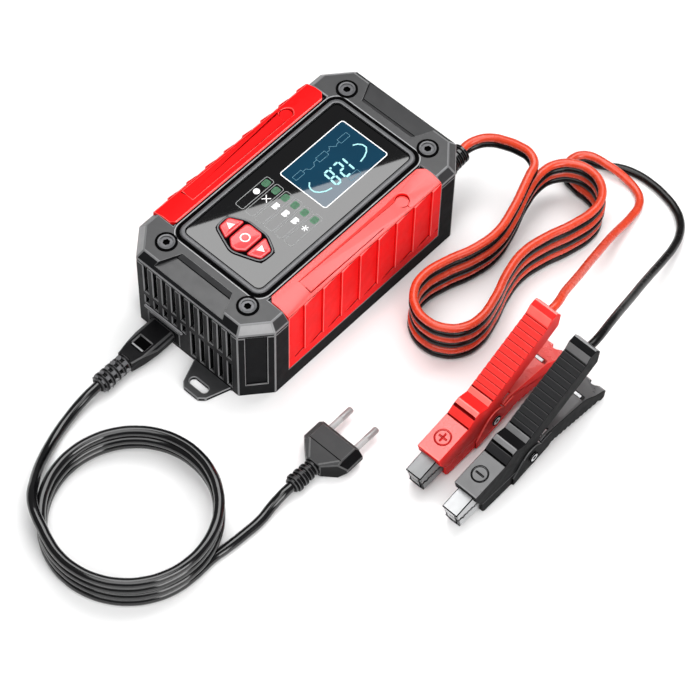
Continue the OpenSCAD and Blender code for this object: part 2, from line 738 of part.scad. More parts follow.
module status_leds() {
    color("#45c06a")
    for (x = led_x)
    union() {
        rod_z(led_r, x, led_y, dpcb_top, lens_z - 0.2);
        rod_z(led_r + 0.4, x, led_y, dpcb_top, dpcb_top + 1);
    }
}

module tact_switches() {
    color("#8d9095")
    for (p = switch_xy)
    union() {
        box(p[0] - 3, p[0] + 3, p[1] - 3, p[1] + 3, dpcb_top, switch_top - 1);
        rod_z(1.7, p[0], p[1], switch_top - 1 - eps, switch_top);
    }
}

// ---------- electronics ----------
module main_board() {
    color(board_green)
    difference() {
        box(-board_half, board_half, -66, 60, board_z, board_top);
        for (sx = [-1, 1])
        for (sy = [-1, 1])
        rod_z(1.3 + fit, sx * board_screw_x, sy * 50, board_z - 1, board_top + 1);
    }
}

module board_screws() {
    color(steel)
    for (sx = [-1, 1])
    for (sy = [-1, 1])
    difference() {
        union() {
            rod_z(1.3, sx * board_screw_x, sy * 50, 1.6, board_top + eps);
            rod_z(2.8, sx * board_screw_x, sy * 50, board_top, board_top + 2);
        }
        box(sx * board_screw_x - 2, sx * board_screw_x + 2, sy * 50 - 0.4, sy * 50 + 0.4, board_top + 1.2,
            board_top + 3);
    }
}

module transformer_core() {
    color("#3c3d3f")
    difference() {
        box(-22, 14, -8, 10, board_top, board_top + 32);
        box(-16, -9.5, -9, 11, board_top + 6, board_top + 26);
        box(1.5, 8, -9, 11, board_top + 6, board_top + 26);
    }
}

module transformer_winding() {
    color(copper)
    difference() {
        box(-15.7, 7.7, -13, 15, board_top + 6.3, board_top + 25.7);
        box(-9.5 - fit, 1.5 + fit, -8 - fit, 10 + fit, board_top, board_top + 30);
    }
}

module capacitors() {
    color("#22262f")
    union() {
        rod_z(9, -24, -34, board_top, board_top + 34);
        for (i = [0 : 2])
        rod_z(5, 8 + 11 * i, 38, board_top, board_top + 20);
        box(sink_x - 20, sink_x - 4, -34, -26, board_top, board_top + 14);
    }
}

module heatsinks() {
    color("#9aa0a6")
    for (s = [-1, 1])
    union() {
        box(s * sink_x - 1, s * sink_x + 1, -30, 34, board_top, board_top + 36);
        for (i = [0 : 5])
        box(s > 0 ? sink_x + 1 : -sink_x - fin_l, s > 0 ? sink_x + fin_l : -sink_x - 1, -29 + 12 * i,
            -27.5 + 12 * i, board_top, board_top + 36);
    }
}

module power_transistors() {
    color("#1b1c1e")
    for (s = [-1, 1])
    for (i = [0 : 1])
    union() {
        box(s > 0 ? sink_x - 5.6 : 1 - sink_x, s > 0 ? sink_x - 1 : 5.6 - sink_x, -18 + 28 * i, -8 + 28 * i,
            board_top + 12, board_top + 27);
        for (k = [-1 : 1])
        box(s * (sink_x - 3.4) - 0.4, s * (sink_x - 3.4) + 0.4, -13 + 28 * i + 2.5 * k - 0.4,
            -13 + 28 * i + 2.5 * k + 0.4, board_top, board_top + 12);
    }
}

module emi_choke() {
    color(copper)
    translate([14, -48, board_top + 10])
    rotate([90, 0, 0])
    rotate_extrude($fn = smooth)
    translate([7, 0])
    circle(r = 3, $fn = 24);
}

module fuse() {
    color("#d9dde0")
    union() {
        rod_x(2.6, -58, board_top + 4.6, fuse_x - 10, fuse_x + 10);
        for (s = [-1, 1])
        box(fuse_x + 7 * s - 2, fuse_x + 7 * s + 2, -60, -56, board_top, board_top + 3);
    }
}

module mains_inlet() {
    color("#111214")
    difference() {
        union() {
            box(inlet_x - inlet_w / 2, inlet_x + inlet_w / 2, -half_l, -half_l + wall + eps,
                inlet_z - inlet_h / 2, inlet_z + inlet_h / 2);
            box(inlet_x - inlet_w / 2 - 2, inlet_x + inlet_w / 2 + 2, -half_l + wall, -half_l + inlet_depth,
                wall, inlet_z + inlet_h / 2 + 1.2);
        }
        stadium_y(2 * socket_r + core_gap - 1, 2 * socket_r, inlet_x, inlet_z, -half_l - 1, -half_l + socket_depth);
        for (s = [-1, 1])
        rod_y(1.15 + fit, inlet_x + s * core_gap / 2, inlet_z, -half_l, 0);
    }
}

module inlet_pins() {
    color(steel)
    for (s = [-1, 1])
    union() {
        rod_y(1.15, inlet_x + s * core_gap / 2, inlet_z, -half_l + 4, -half_l + pin_reach + 1.5);
        box(inlet_x + s * core_gap / 2 - 0.8, inlet_x + s * core_gap / 2 + 0.8, -half_l + pin_reach,
            -half_l + pin_reach + 1.5, board_top, inlet_z);
    }
}

module case_screws() {
    color("#55585c")
    for (sx = [-1, 1])
    for (sy = [-1, 1])
    difference() {
        union() {
            rod_z(screw_r, sx * screw_x, sy * screw_y, split_z - 22, body_h - 2);
            rod_z(4, sx * screw_x, sy * screw_y, body_h - 2.6, body_h + 0.1);
        }
        rod_z(2.1, sx * screw_x, sy * screw_y, body_h - 1.9, body_h + 1, 6);
    }
}

module display_screws() {
    color(steel)
    for (sx = [-1, 1])
    for (sy = [-1, 1])
    rod_z(2.3, sx * 31, sy * 46, dpcb_z - 1.6, dpcb_z);
}

// ---------- fan ----------
module fan_frame() {
    color("#141516")
    difference() {
        union() {
            difference() {
                box(fan_x - fan_size / 2, fan_x + fan_size / 2, fan_y, half_l - wall, fan_z - fan_size / 2,
                    fan_z + fan_size / 2);
                rod_y(rotor_r + 0.7, fan_x, fan_z, fan_y - 1, half_l);
            }
            rod_y(hub_r, fan_x, fan_z, half_l - wall - 1.6, half_l - wall);
            for (a = [45, 165, 285])
            translate([fan_x, 0, fan_z])
            rotate([0, a, 0])
            box(0, rotor_r + 1.5, half_l - wall - 1.6, half_l - wall, -1, 1);
        }
        rod_y(1.5 + fit, fan_x, fan_z, fan_y, half_l);
        for (sx = [-1, 1])
        for (sz = [-1, 1])
        rod_y(1.3 + fit, fan_x + sx * 16, fan_z + sz * 16, fan_y - 1, half_l);
    }
}

module fan_rotor() {
    color("#1d1e20")
    union() {
        rod_y(hub_r, fan_x, fan_z, fan_y + 0.3, half_l - wall - 1.9);
        rod_y(1.5, fan_x, fan_z, fan_y + 1, half_l - wall - 0.1);
        for (i = [0 : 6])
        translate([fan_x, (fan_y + half_l - wall) / 2 - 0.8, fan_z])
        rotate([0, i * 360 / 7, 0])
        rotate([38, 0, 0])
        box(hub_r - 1.5, rotor_r, -0.6, 0.6, -3.4, 3.4);
    }
}

module fan_screws() {
    color(steel)
    for (sx = [-1, 1])
    for (sz = [-1, 1])
    union() {
        rod_y(1.3, fan_x + sx * 16, fan_z + sz * 16, fan_y + 1, half_l + eps);
        rod_y(2.6, fan_x + sx * 16, fan_z + sz * 16, half_l, half_l + 1.6);
    }
}

// ---------- mains lead ----------
module ribbed(r0, r1, n, l) {
    rotate_extrude($fn = smooth)
    polygon(concat([[0, 0]],
        [for (i = [0 : n - 1]) each [[r0 + (r1 - r0) * i / n, l * i / n],
            [r0 + (r1 - r0) * i / n, l * (i + 0.6) / n],
            [r0 + (r1 - r0) * i / n - 1, l * (i + 0.6) / n],
            [r0 + (r1 - r0) * i / n - 1, l * (i + 1) / n]]],
        [[0, l]]));
}

module mains_connector() {
    color(cord_black)
    difference() {
        union() {
            stadium_y(2 * plugin_r + core_gap - 1, 2 * plugin_r, inlet_x, inlet_z, -half_l - 1,
                -half_l + socket_depth - 0.4);
            intersection() {
                along([[inlet_x - conn_w / 2, inlet_z - conn_h / 2 + 2], [inlet_x - conn_w / 2 + 2, inlet_z - conn_h / 2],
                    [inlet_x + conn_w / 2 - 2, inlet_z - conn_h / 2], [inlet_x + conn_w / 2, inlet_z - conn_h / 2 + 2],
                    [inlet_x + conn_w / 2, inlet_z + conn_h / 2 - 2], [inlet_x + conn_w / 2 - 2, inlet_z + conn_h / 2],
                    [inlet_x - conn_w / 2 + 2, inlet_z + conn_h / 2], [inlet_x - conn_w / 2, inlet_z + conn_h / 2 - 2]],
                    -half_l - 31, -half_l - 0.3);
                linear_extrude(height = deep)
                polygon([[inlet_x - conn_w / 2, -half_l], [inlet_x - conn_w / 2, -half_l - 14],
                    [inlet_x - 5.4, -half_l - 31], [inlet_x + 5.4, -half_l - 31],
                    [inlet_x + conn_w / 2, -half_l - 14], [inlet_x + conn_w / 2, -half_l]]);
            }
            translate([inlet_x, -half_l - 30, inlet_z])
            rotate([90, 0, 0])
            ribbed(5.6, 6, 5, conn_l - 30);
        }
        box(inlet_x - 4.4, inlet_x + 4.4, -half_l - 20, -half_l - 14, inlet_z + conn_h / 2 - 1.6, inlet_z + conn_h);
        for (s = [-1, 1])
        rod_y(1.15 + fit, inlet_x + s * core_gap / 2, inlet_z, -half_l + 3, 0);
    }
}

module mains_cord_in() {
    color(cord_black)
    tube(mains_in_path, mains_d, 12);
}

module mains_coil() {
    color(cord_black)
    tube(coil_path, mains_d, coil_sides);
}

module mains_cord_out() {
    color(cord_black)
    tube(mains_out_path, mains_d, 12);
}

module plug_body() {
    color(cord_black)
    difference() {
        union() {
            intersection() {
                translate([plug_x, 0, -1])
                linear_extrude(height = plug_t + 2)
                polygon([[-plug_w / 2, plug_y + 1], [-plug_w / 2, plug_y - 12.5], [-5, plug_neck], [5, plug_neck],
                    [plug_w / 2, plug_y - 12.5], [plug_w / 2, plug_y + 1]]);
                translate([plug_x, 0, 0])
                along([[-plug_w / 2 + 4.5, 0], [plug_w / 2 - 4.5, 0], [plug_w / 2, 5.5], [plug_w / 2, plug_t - 5.5],
                    [plug_w / 2 - 4.5, plug_t], [-plug_w / 2 + 4.5, plug_t], [-plug_w / 2, plug_t - 5.5],
                    [-plug_w / 2, 5.5]], plug_neck, plug_y);
                translate([plug_x, 0, 0])
                across([[plug_y, 1.6], [plug_y, plug_t - 1.6], [plug_y - 1.8, plug_t], [plug_y - 12.5, plug_t],
                    [plug_neck, plug_z + 5.2], [plug_neck, plug_z - 5.2], [plug_y - 12.5, 0], [plug_y - 1.8, 0]], 60);
            }
            translate([plug_x, plug_neck + 1, plug_z])
            rotate([90, 0, 0])
            ribbed(5, 5.8, 4, plug_neck + 1 - plug_end);
        }
        for (s = [-1, 1])
        rod_y(pin_root + fit, plug_x + s * pin_gap / 2, plug_z, plug_y - pin_seat, plug_y + 1);
    }
}

module plug_pins() {
    color(steel)
    for (s = [-1, 1])
    union() {
        rod_y(pin_root, plug_x + s * pin_gap / 2, plug_z, plug_y - pin_seat + 0.1, plug_y + eps);
        rod_y(pin_r, plug_x + s * pin_gap / 2, plug_z, plug_y, plug_y + pin_l);
    }
}

// ---------- battery lead ----------
module dc_gland() {
    color("#151618")
    union() {
        intersection() {
            rod_y(8, gland_x, gland_z, half_l - wall - 2, half_l - wall);
            box(0, end_x(wall) - 1.2, 0, half_l, 0, body_h);
        }
        rod_y(5, gland_x, gland_z, half_l - wall - eps, half_l + eps);
        rod_y(7.4, gland_x, gland_z, half_l, half_l + 2);
        translate([gland_x, gland_end, gland_z])
        rotate([90, 0, 0])
        ribbed(6.1, 6.8, 4, gland_l - 1.9);
    }
}

module red_lead_exit() {
    color(lead_red)
    tube(red_exit_path, lead_d, 12);
}

module black_lead_exit() {
    color(cord_black)
    tube(black_exit_path, lead_d, 12);
}

module red_hank() {
    color(lead_red)
    tube(red_hank_path, lead_d, coil_sides);
}

module black_hank() {
    color(cord_black)
    tube(black_hank_path, lead_d, coil_sides);
}

module red_lead_tail() {
    color(lead_red)
    tube(red_tail_path, lead_d, 12);
}

module black_lead_tail() {
    color(cord_black)
    tube(black_tail_path, lead_d, 12);
}

// ---------- clamps ----------
module place(tip, turn) {
    translate([tip[0], tip[1], 0])
    rotate([0, 0, turn])
    children();
}

function jaw_top(a) = 19 + (a + 2) * tan(jaw_slope);
upper_outer = concat(
    [[16.2, 12], [11.5, 20], [10, 26.5], [33.6, 31.2], [34, 30.6], [34.6, 31.4], [38.6, 35], [39.2, 34.6],
        [39.8, 35.9], [43, 37.2], [50.3, 34.9], [53.3, 36.9]],
    [for (i = [0 : 11]) each [[54.2 + 3.6 * i, 36.8 + 1.95 * i], [56.6 + 3.6 * i, 38.9 + 1.95 * i],
        [57.2 + 3.6 * i, 38.4 + 1.95 * i]]],
    [[100.4, 65], [105.5, 66], [109, 61], [108, 52], [98.5, 46.5], [64, 28], [60, 21], [54, 12]]);
upper_inner = [[8, 5], [8, jaw_top(8)], [36, jaw_top(36)], [39.5, 31.6], [52, 31.6], [58, 35.4], [98, 57.5],
    [101.5, 61.8], [104.6, 62.4], [106.6, 59.6], [106, 46], [98.5, 30], [60, 5]];

module upper_shell() {
    difference() {
        union() {
            across(upper_outer, clamp_w);
            rod_x(boss_r, pivot_a, pivot_z, -clamp_w / 2, clamp_w / 2);
        }
        across(upper_inner, clamp_in);
        rod_x(boss_r + 1, pivot_a, pivot_z, -clamp_in / 2, clamp_in / 2);
        rod_x(pivot_r + fit, pivot_a, pivot_z, -clamp_w, clamp_w);
        rod_y(lead_d / 2 + 0.2, 0, cable_z, cable_a - 3, cable_a + 5);
    }
}

module upper_mark(plus) {
    translate([0, 22, 28.9])
    rotate([11.25, 0, 0]) {
        difference() {
            rod_z(4.9, 0, 0, -1, 0.5);
            rod_z(4.2, 0, 0, -0.4, 1);
        }
        box(-2.7, 2.7, -0.45, 0.45, -1, 0.5);
        if (plus) {
            box(-0.45, 0.45, -2.7, 2.7, -1, 0.5);
        }
    }
}

lower_nose = [[16.5, 11.7], [17.3, 3.6], [19, 1.6], [44, 2.6], [50, 5], [50, 11.7]];
nose_web = [[41.6, 2.5], [41.6, 8.6], [45.5, 11.6], [47.6, 9.2], [47.4, 4]];
cheek = [[41.6, 2.5], [41.6, 8.6], [49, 19.4], [65, 21], [72, 22.4], [73.4, 12.5], [71, 9.8], [62, 7.6], [50, 5]];
tail_web = [[66.6, 21.3], [72, 22.4], [73.4, 12.5], [71, 9.8], [67, 9.2], [65.6, 12]];
lever_tail = concat(
    [[64, 9], [64, 21], [68, 23.2], [100.5, 19.8], [104, 18.4], [112, 12.5], [119.5, 9], [121.8, 6.5], [121, 1],
        [118, 0.2]],
    [for (i = [0 : 11]) each [[114.6 - 3.7 * i, 3.3 + 0.55 * i], [113.6 - 3.7 * i, 2.3 + 0.55 * i],
        [111.6 - 3.7 * i, 2.5 + 0.55 * i]]]);
tail_inner = [[60, -1], [60, 30], [72, 30], [72, 20.7], [100.5, 17.8], [104, 16.4], [111, 11], [118, 7.4],
    [119.6, 5.2], [119.6, -1]];
nose_inner = [[10, 3.6], [10, 20], [60, 20], [60, 7.4], [50, 6.8], [44, 4.6], [40, 3.6]];

module lower_shell() {
    difference() {
        union() {
            difference() {
                union() {
                    across(lower_nose, clamp_w);
                    across(lever_tail, clamp_w);
                }
                rod_x(boss_r + 0.6, pivot_a, pivot_z, -clamp_w, clamp_w);
            }
            across(nose_web, cheek_w);
            across(tail_web, cheek_w);
            for (s = [-1, 1])
            translate([s * (cheek_w - cheek_t) / 2, 0, 0]) {
                across(cheek, cheek_t);
                rod_x(cheek_r, pivot_a, pivot_z, -cheek_t / 2, cheek_t / 2);
            }
        }
        across(nose_inner, clamp_in);
        across(tail_inner, clamp_in);
        rod_x(pivot_r + fit, pivot_a, pivot_z, -clamp_w, clamp_w);
        box(-5.5, 5.5, 100.4, 103.6, 10, 25);
        rod_z(2.7, 0, 121, -1, 20);
        box(-2.7, 2.7, 121, 125, -1, 20);
    }
}

module tooth_edge(z, h, y0, n) {
    for (i = [0 : n - 1])
    translate([0, y0 + 3 * i, z])
    rotate([90, 0, 90])
    translate([0, 0, -jaw_w])
    linear_extrude(height = 2 * jaw_w)
    polygon([[0, 0], [1.5, h], [3, 0]]);
}

upper_lip = [[-2, jaw_top(-2)], [-0.4, 12.3], [0.8, 12.3], [-0.8, 18]];
lower_lip = [[0, 11.6], [1.7, 3.7], [2.9, 3.7], [1.2, 11.6]];
upper_side = [[-1.2, jaw_top(-1.2)], [0.2, 12.3], [36, 12.3], [36, jaw_top(36)]];
lower_side = [[0.6, 11.6], [2.3, 3.6], [40, 3.6], [40, 11.6]];

module jaw_sides(p) {
    for (s = [-1, 1])
    translate([s * (jaw_w - jaw_t) / 2, 0, 0])
    across(p, jaw_t);
}

module upper_jaw() {
    color(steel)
    difference() {
        union() {
            across([[-2, jaw_top(-2)], [46, jaw_top(46)], [46, jaw_top(46) - jaw_t], [-1.9, jaw_top(-2) - jaw_t]],
                jaw_w - 4.4);
            across([[-2, jaw_top(-2)], [36, jaw_top(36)], [36, jaw_top(36) - jaw_t], [-1.9, jaw_top(-2) - jaw_t]],
                jaw_w);
            jaw_sides(upper_side);
            across(upper_lip, jaw_w - 2 * jaw_t - 1);
        }
        tooth_edge(12.2, 1.6, 0.2, 12);
    }
}

module lower_jaw() {
    color(steel)
    difference() {
        union() {
            across([[1.7, 3.6], [1.7, 3.6 + jaw_t], [40, 3.6 + jaw_t], [40, 3.6]], jaw_w);
            jaw_sides(lower_side);
            across(lower_lip, jaw_w - 2 * jaw_t - 1);
        }
        translate([0, 3.2, 23.8])
        mirror([0, 0, 1])
        tooth_edge(12.1, 1.6, 0, 13);
    }
}

module pivot_pin() {
    color(steel)
    union() {
        rod_x(pivot_r, pivot_a, pivot_z, -cheek_w / 2 - 1, cheek_w / 2 + 1);
        for (s = [-1, 1])
        rod_x(3.4, pivot_a, pivot_z, s * cheek_w / 2 + (s - 1) / 2, s * cheek_w / 2 + (s + 1) / 2);
    }
}

module torsion_spring() {
    color("#a9adb2")
    tube(spring_path, spring_wire, 6);
}

module inner_lead() {
    color(copper)
    tube([[0, cable_a - 0.2, cable_z], [0, 101, 55], [0, 92, 49], [0, 80, 41.6], [0, 68, 34.6], [0, 60, 31],
        [0, 53, 29.6], [0, 46, 29.8]], 2.4, 8);
}

module red_upper_shell() {
    color(lead_red)
    place(red_tip, red_turn)
    union() {
        upper_shell();
        upper_mark(true);
    }
}

module red_lower_shell() {
    color(lead_red)
    place(red_tip, red_turn)
    lower_shell();
}

module red_upper_jaw() {
    place(red_tip, red_turn)
    upper_jaw();
}

module red_lower_jaw() {
    place(red_tip, red_turn)
    lower_jaw();
}

module red_pivot_pin() {
    place(red_tip, red_turn)
    pivot_pin();
}

module red_spring() {
    place(red_tip, red_turn)
    torsion_spring();
}

module red_inner_lead() {
    place(red_tip, red_turn)
    inner_lead();
}

module black_upper_shell() {
    color(cord_black)
    place(black_tip, black_turn)
    union() {
        upper_shell();
        upper_mark(false);
    }
}

module black_lower_shell() {
    color(cord_black)
    place(black_tip, black_turn)
    lower_shell();
}

module black_upper_jaw() {
    place(black_tip, black_turn)
    upper_jaw();
}

module black_lower_jaw() {
    place(black_tip, black_turn)
    lower_jaw();
}

module black_pivot_pin() {
    place(black_tip, black_turn)
    pivot_pin();
}

module black_spring() {
    place(black_tip, black_turn)
    torsion_spring();
}

module black_inner_lead() {
    place(black_tip, black_turn)
    inner_lead();
}

// ---------- selection ----------
lower_case();
top_cover();
side_trim_left();
side_trim_right();
display_bezel();
display_lens();
keypad_bezel();
up_button();
enter_button();
down_button();
lcd_module();
display_board();
display_screws();
status_leds();
tact_switches();
main_board();
board_screws();
transformer_core();
transformer_winding();
capacitors();
heatsinks();
power_transistors();
emi_choke();
fuse();
mains_inlet();
inlet_pins();
case_screws();
fan_frame();
fan_rotor();
fan_screws();
mains_connector();
mains_cord_in();
mains_coil();
mains_cord_out();
plug_body();
plug_pins();
dc_gland();
red_lead_exit();
black_lead_exit();
red_hank();
black_hank();
red_lead_tail();
black_lead_tail();
red_upper_shell();
red_lower_shell();
red_upper_jaw();
red_lower_jaw();
red_pivot_pin();
red_spring();
red_inner_lead();
black_upper_shell();
black_lower_shell();
black_upper_jaw();
black_lower_jaw();
black_pivot_pin();
black_spring();
black_inner_lead();
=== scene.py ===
"""Looks of a car battery charger with display, mains lead and battery clamps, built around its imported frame.

Lengths and places in this file are millimetres in the frame's axes, and become metres where a piece is made.
"""

import math

import bmesh
import bpy
from mathutils import Matrix, Vector


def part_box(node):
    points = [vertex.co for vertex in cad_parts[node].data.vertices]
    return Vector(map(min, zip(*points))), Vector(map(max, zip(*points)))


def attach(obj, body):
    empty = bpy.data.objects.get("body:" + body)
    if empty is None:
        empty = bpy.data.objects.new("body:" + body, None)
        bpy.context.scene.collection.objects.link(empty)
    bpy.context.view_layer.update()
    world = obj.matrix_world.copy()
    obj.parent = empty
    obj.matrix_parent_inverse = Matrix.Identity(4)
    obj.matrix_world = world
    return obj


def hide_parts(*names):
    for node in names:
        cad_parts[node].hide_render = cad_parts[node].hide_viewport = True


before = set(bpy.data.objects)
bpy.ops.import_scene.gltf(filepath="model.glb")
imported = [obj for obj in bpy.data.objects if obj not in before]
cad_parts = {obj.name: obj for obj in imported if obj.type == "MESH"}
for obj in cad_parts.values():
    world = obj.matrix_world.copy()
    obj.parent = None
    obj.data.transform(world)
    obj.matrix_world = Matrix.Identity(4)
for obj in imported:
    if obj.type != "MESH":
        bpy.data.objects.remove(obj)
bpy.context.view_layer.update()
MM = 0.001
BODY = "charger"


def metres(p):
    return Vector(p) * MM


def top_of(node):
    """Height of a CAD node's highest point, in millimetres."""
    return (Vector(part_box(node)[1]) / MM).z


# ------------------------ camera
CAMERA_AT = (607.7, -652.5, 1281.9)
CAMERA_AZIMUTH = 40.94
CAMERA_ELEVATION = 57.04
CAMERA_ROLL = 1.9
CAMERA_LENS = 138.85


def make_camera():
    a = math.radians(CAMERA_AZIMUTH)
    e = math.radians(CAMERA_ELEVATION)
    r = math.radians(CAMERA_ROLL)
    back = Vector((math.sin(a) * math.cos(e), -math.cos(a) * math.cos(e), math.sin(e)))
    right = Vector((math.cos(a), math.sin(a), 0))
    up = back.cross(right)
    side = right * math.cos(r) + up * math.sin(r)
    top = up * math.cos(r) - right * math.sin(r)
    data = bpy.data.cameras.new("camera")
    data.lens = CAMERA_LENS
    data.clip_end = 20
    camera = bpy.data.objects.new("camera", data)
    turn = Matrix((side, top, back)).transposed().to_4x4()
    camera.matrix_world = Matrix.Translation(metres(CAMERA_AT)) @ turn
    bpy.context.scene.collection.objects.link(camera)
    bpy.context.scene.camera = camera


make_camera()


# ------------------------ materials
COAT_ROUGHNESS = 0.05
GRAIN_HEIGHT = 0.05
NOISE_LOW = 0.3
NOISE_HIGH = 0.7


def material(name, colour, roughness, metallic=0.0, coat=0.0, ior=1.5, specular=0.5, grain=0.0, grain_size=0.4,
             mottle=0.0, mottle_size=8.0, rough_spread=0.0, glow=None, glow_strength=0.0, stretch=(1, 1, 1)):
    """A moulded, plated or printed finish: base colour with mottling, fine grain and uneven gloss."""
    m = bpy.data.materials.new(name)
    m.use_nodes = True
    tree = m.node_tree
    shader = tree.nodes["Principled BSDF"]
    shader.inputs["Base Color"].default_value = (*colour, 1)
    shader.inputs["Roughness"].default_value = roughness
    shader.inputs["Metallic"].default_value = metallic
    shader.inputs["IOR"].default_value = ior
    shader.inputs["Specular IOR Level"].default_value = specular
    shader.inputs["Coat Weight"].default_value = coat
    shader.inputs["Coat Roughness"].default_value = COAT_ROUGHNESS
    if glow:
        shader.inputs["Emission Color"].default_value = (*glow, 1)
        shader.inputs["Emission Strength"].default_value = glow_strength
    where = tree.nodes.new("ShaderNodeTexCoord")
    spread = tree.nodes.new("ShaderNodeMapping")
    spread.inputs["Scale"].default_value = stretch
    tree.links.new(where.outputs["Object"], spread.inputs["Vector"])

    def noise(size, detail):
        n = tree.nodes.new("ShaderNodeTexNoise")
        n.inputs["Scale"].default_value = 1 / (size * MM)
        n.inputs["Detail"].default_value = detail
        tree.links.new(spread.outputs["Vector"], n.inputs["Vector"])
        return n

    if mottle:
        ramp = tree.nodes.new("ShaderNodeValToRGB")
        ramp.color_ramp.elements[0].position = NOISE_LOW
        ramp.color_ramp.elements[1].position = NOISE_HIGH
        ramp.color_ramp.elements[0].color = (*[c * (1 - mottle) for c in colour], 1)
        ramp.color_ramp.elements[1].color = (*[min(1, c * (1 + mottle)) for c in colour], 1)
        tree.links.new(noise(mottle_size, 3).outputs["Fac"], ramp.inputs["Fac"])
        tree.links.new(ramp.outputs["Color"], shader.inputs["Base Color"])
    if rough_spread:
        span = tree.nodes.new("ShaderNodeMapRange")
        span.inputs["From Min"].default_value = NOISE_LOW
        span.inputs["From Max"].default_value = NOISE_HIGH
        span.inputs["To Min"].default_value = roughness - rough_spread
        span.inputs["To Max"].default_value = roughness + rough_spread
        tree.links.new(noise(mottle_size * 0.6, 2).outputs["Fac"], span.inputs["Value"])
        tree.links.new(span.outputs["Result"], shader.inputs["Roughness"])
    if grain:
        bump = tree.nodes.new("ShaderNodeBump")
        bump.inputs["Strength"].default_value = grain
        bump.inputs["Distance"].default_value = GRAIN_HEIGHT * MM
        tree.links.new(noise(grain_size, 2).outputs["Fac"], bump.inputs["Height"])
        tree.links.new(bump.outputs["Normal"], shader.inputs["Normal"])
    return m


CASE = material("case_plastic", (0.009, 0.0092, 0.01), 0.6, specular=0.03, grain=0.35, grain_size=0.35, mottle=0.12,
                rough_spread=0.05)
# up-facing copy of the case plastic, lighter and glossier than the sides: painted sheen on the tops
CASE_TOP_SHEEN = material("case_top_painted_sheen", (0.021, 0.0212, 0.0225), 0.34, specular=0.55, grain=0.3, grain_size=0.35,
                    mottle=0.1, rough_spread=0.04)
# light grey on the rounded edges of the case and the inlet: painted edge highlight
CASE_EDGE_HIGHLIGHT = material("case_edge_painted_highlight", (0.15, 0.151, 0.155), 0.3, grain=0.15, grain_size=0.4, mottle=0.1)
# front-facing copy of the case plastic, lighter than the other sides and darker than the tops: painted light by
# facing
CASE_FRONT_SHADING = material("case_front_painted_shading", (0.02, 0.02, 0.021), 0.5, specular=0.05, grain=0.3, grain_size=0.35,
                      mottle=0.15, rough_spread=0.05)
# light grey for the cover's sloping front corner facets: painted highlight
CASE_FACET_HIGHLIGHT = material("case_facet_painted_highlight", (0.26, 0.26, 0.263), 0.35, grain=0.3, grain_size=0.35, mottle=0.1)
# light grey for the hood's ledge over the inlet: painted highlight
LEDGE_HIGHLIGHT = material("ledge_painted_highlight", (0.26, 0.26, 0.27), 0.4, grain=0.2, mottle=0.1)
SHADE = material("groove_shade", (0.0012, 0.0012, 0.0013), 0.8, specular=0.02, grain=0.1, mottle=0.1)
TRIM = material("trim_plastic", (0.8, 0.008, 0.009), 0.5, specular=0.04, grain=0.2, grain_size=0.4, mottle=0.05,
                rough_spread=0.04)
# lighter, glossier copy of the trim red, used only on the right trim's tops: painted sheen
TRIM_TOP_SHEEN = material("trim_top_painted_sheen", (0.8, 0.05, 0.045), 0.2, specular=0.5, grain=0.12, grain_size=0.4,
                    mottle=0.05, rough_spread=0.03)
# lighter red on the trims' rounded edges: painted edge highlight
TRIM_EDGE_HIGHLIGHT = material("trim_edge_painted_highlight", (0.85, 0.09, 0.08), 0.3, grain=0.12, grain_size=0.4, mottle=0.05)
RED_SHADE = material("red_groove_shade", (0.11, 0.001, 0.001), 0.8, specular=0.02, grain=0.1, mottle=0.1)
# grey for the display frame's top and the screw collars, lighter than the dark plastic of those parts: painted sheen
SURROUND_SHEEN = material("surround_plastic", (0.09, 0.091, 0.096), 0.3, grain=0.15, grain_size=0.3, rough_spread=0.04,
                    mottle=0.1)
# light grey lines on the lip round the display frame and on the connector's ledge: painted highlights
RIM_HIGHLIGHT = material("rim_painted_highlight", (0.3, 0.305, 0.31), 0.35, grain=0.15, mottle=0.1)
LENS = material("lens_plastic", (0.0012, 0.0012, 0.0016), 0.015, ior=1.7, mottle=0.2, mottle_size=30)
LCD = material("display_glass", (0.001, 0.018, 0.034), 0.015, ior=1.6, mottle=0.12, mottle_size=20,
               glow=(0.0, 0.1, 0.22), glow_strength=0.22)
# white print with a faint glow of its own: the glow is painted light
GLOWING_PRINT = material("white_print_painted_glow", (0.8, 0.8, 0.8), 0.4, mottle=0.04, glow=(1, 1, 1), glow_strength=0.1)
SLOT_PRINT = material("slot_print", (0.22, 0.225, 0.225), 0.4, mottle=0.06)
SEGMENT = material("display_segments", (0.3, 0.62, 0.64), 0.3, mottle=0.05, glow=(0.45, 0.95, 1.0),
                   glow_strength=0.12)
FAINT = material("display_faint_segments", (0.04, 0.14, 0.2), 0.3, mottle=0.05, glow=(0.1, 0.4, 0.55),
                 glow_strength=0.15)
LAMP = material("lamp_window", (0.012, 0.11, 0.04), 0.2, mottle=0.35, mottle_size=1.2, glow=(0.02, 0.45, 0.14),
                glow_strength=0.05)
LAMP_DARK = material("lamp_rib", (0.004, 0.045, 0.018), 0.3, mottle=0.2)
BUTTON = material("button_plastic", (0.62, 0.02, 0.025), 0.28, coat=0.5, grain=0.08, mottle=0.08, mottle_size=5)
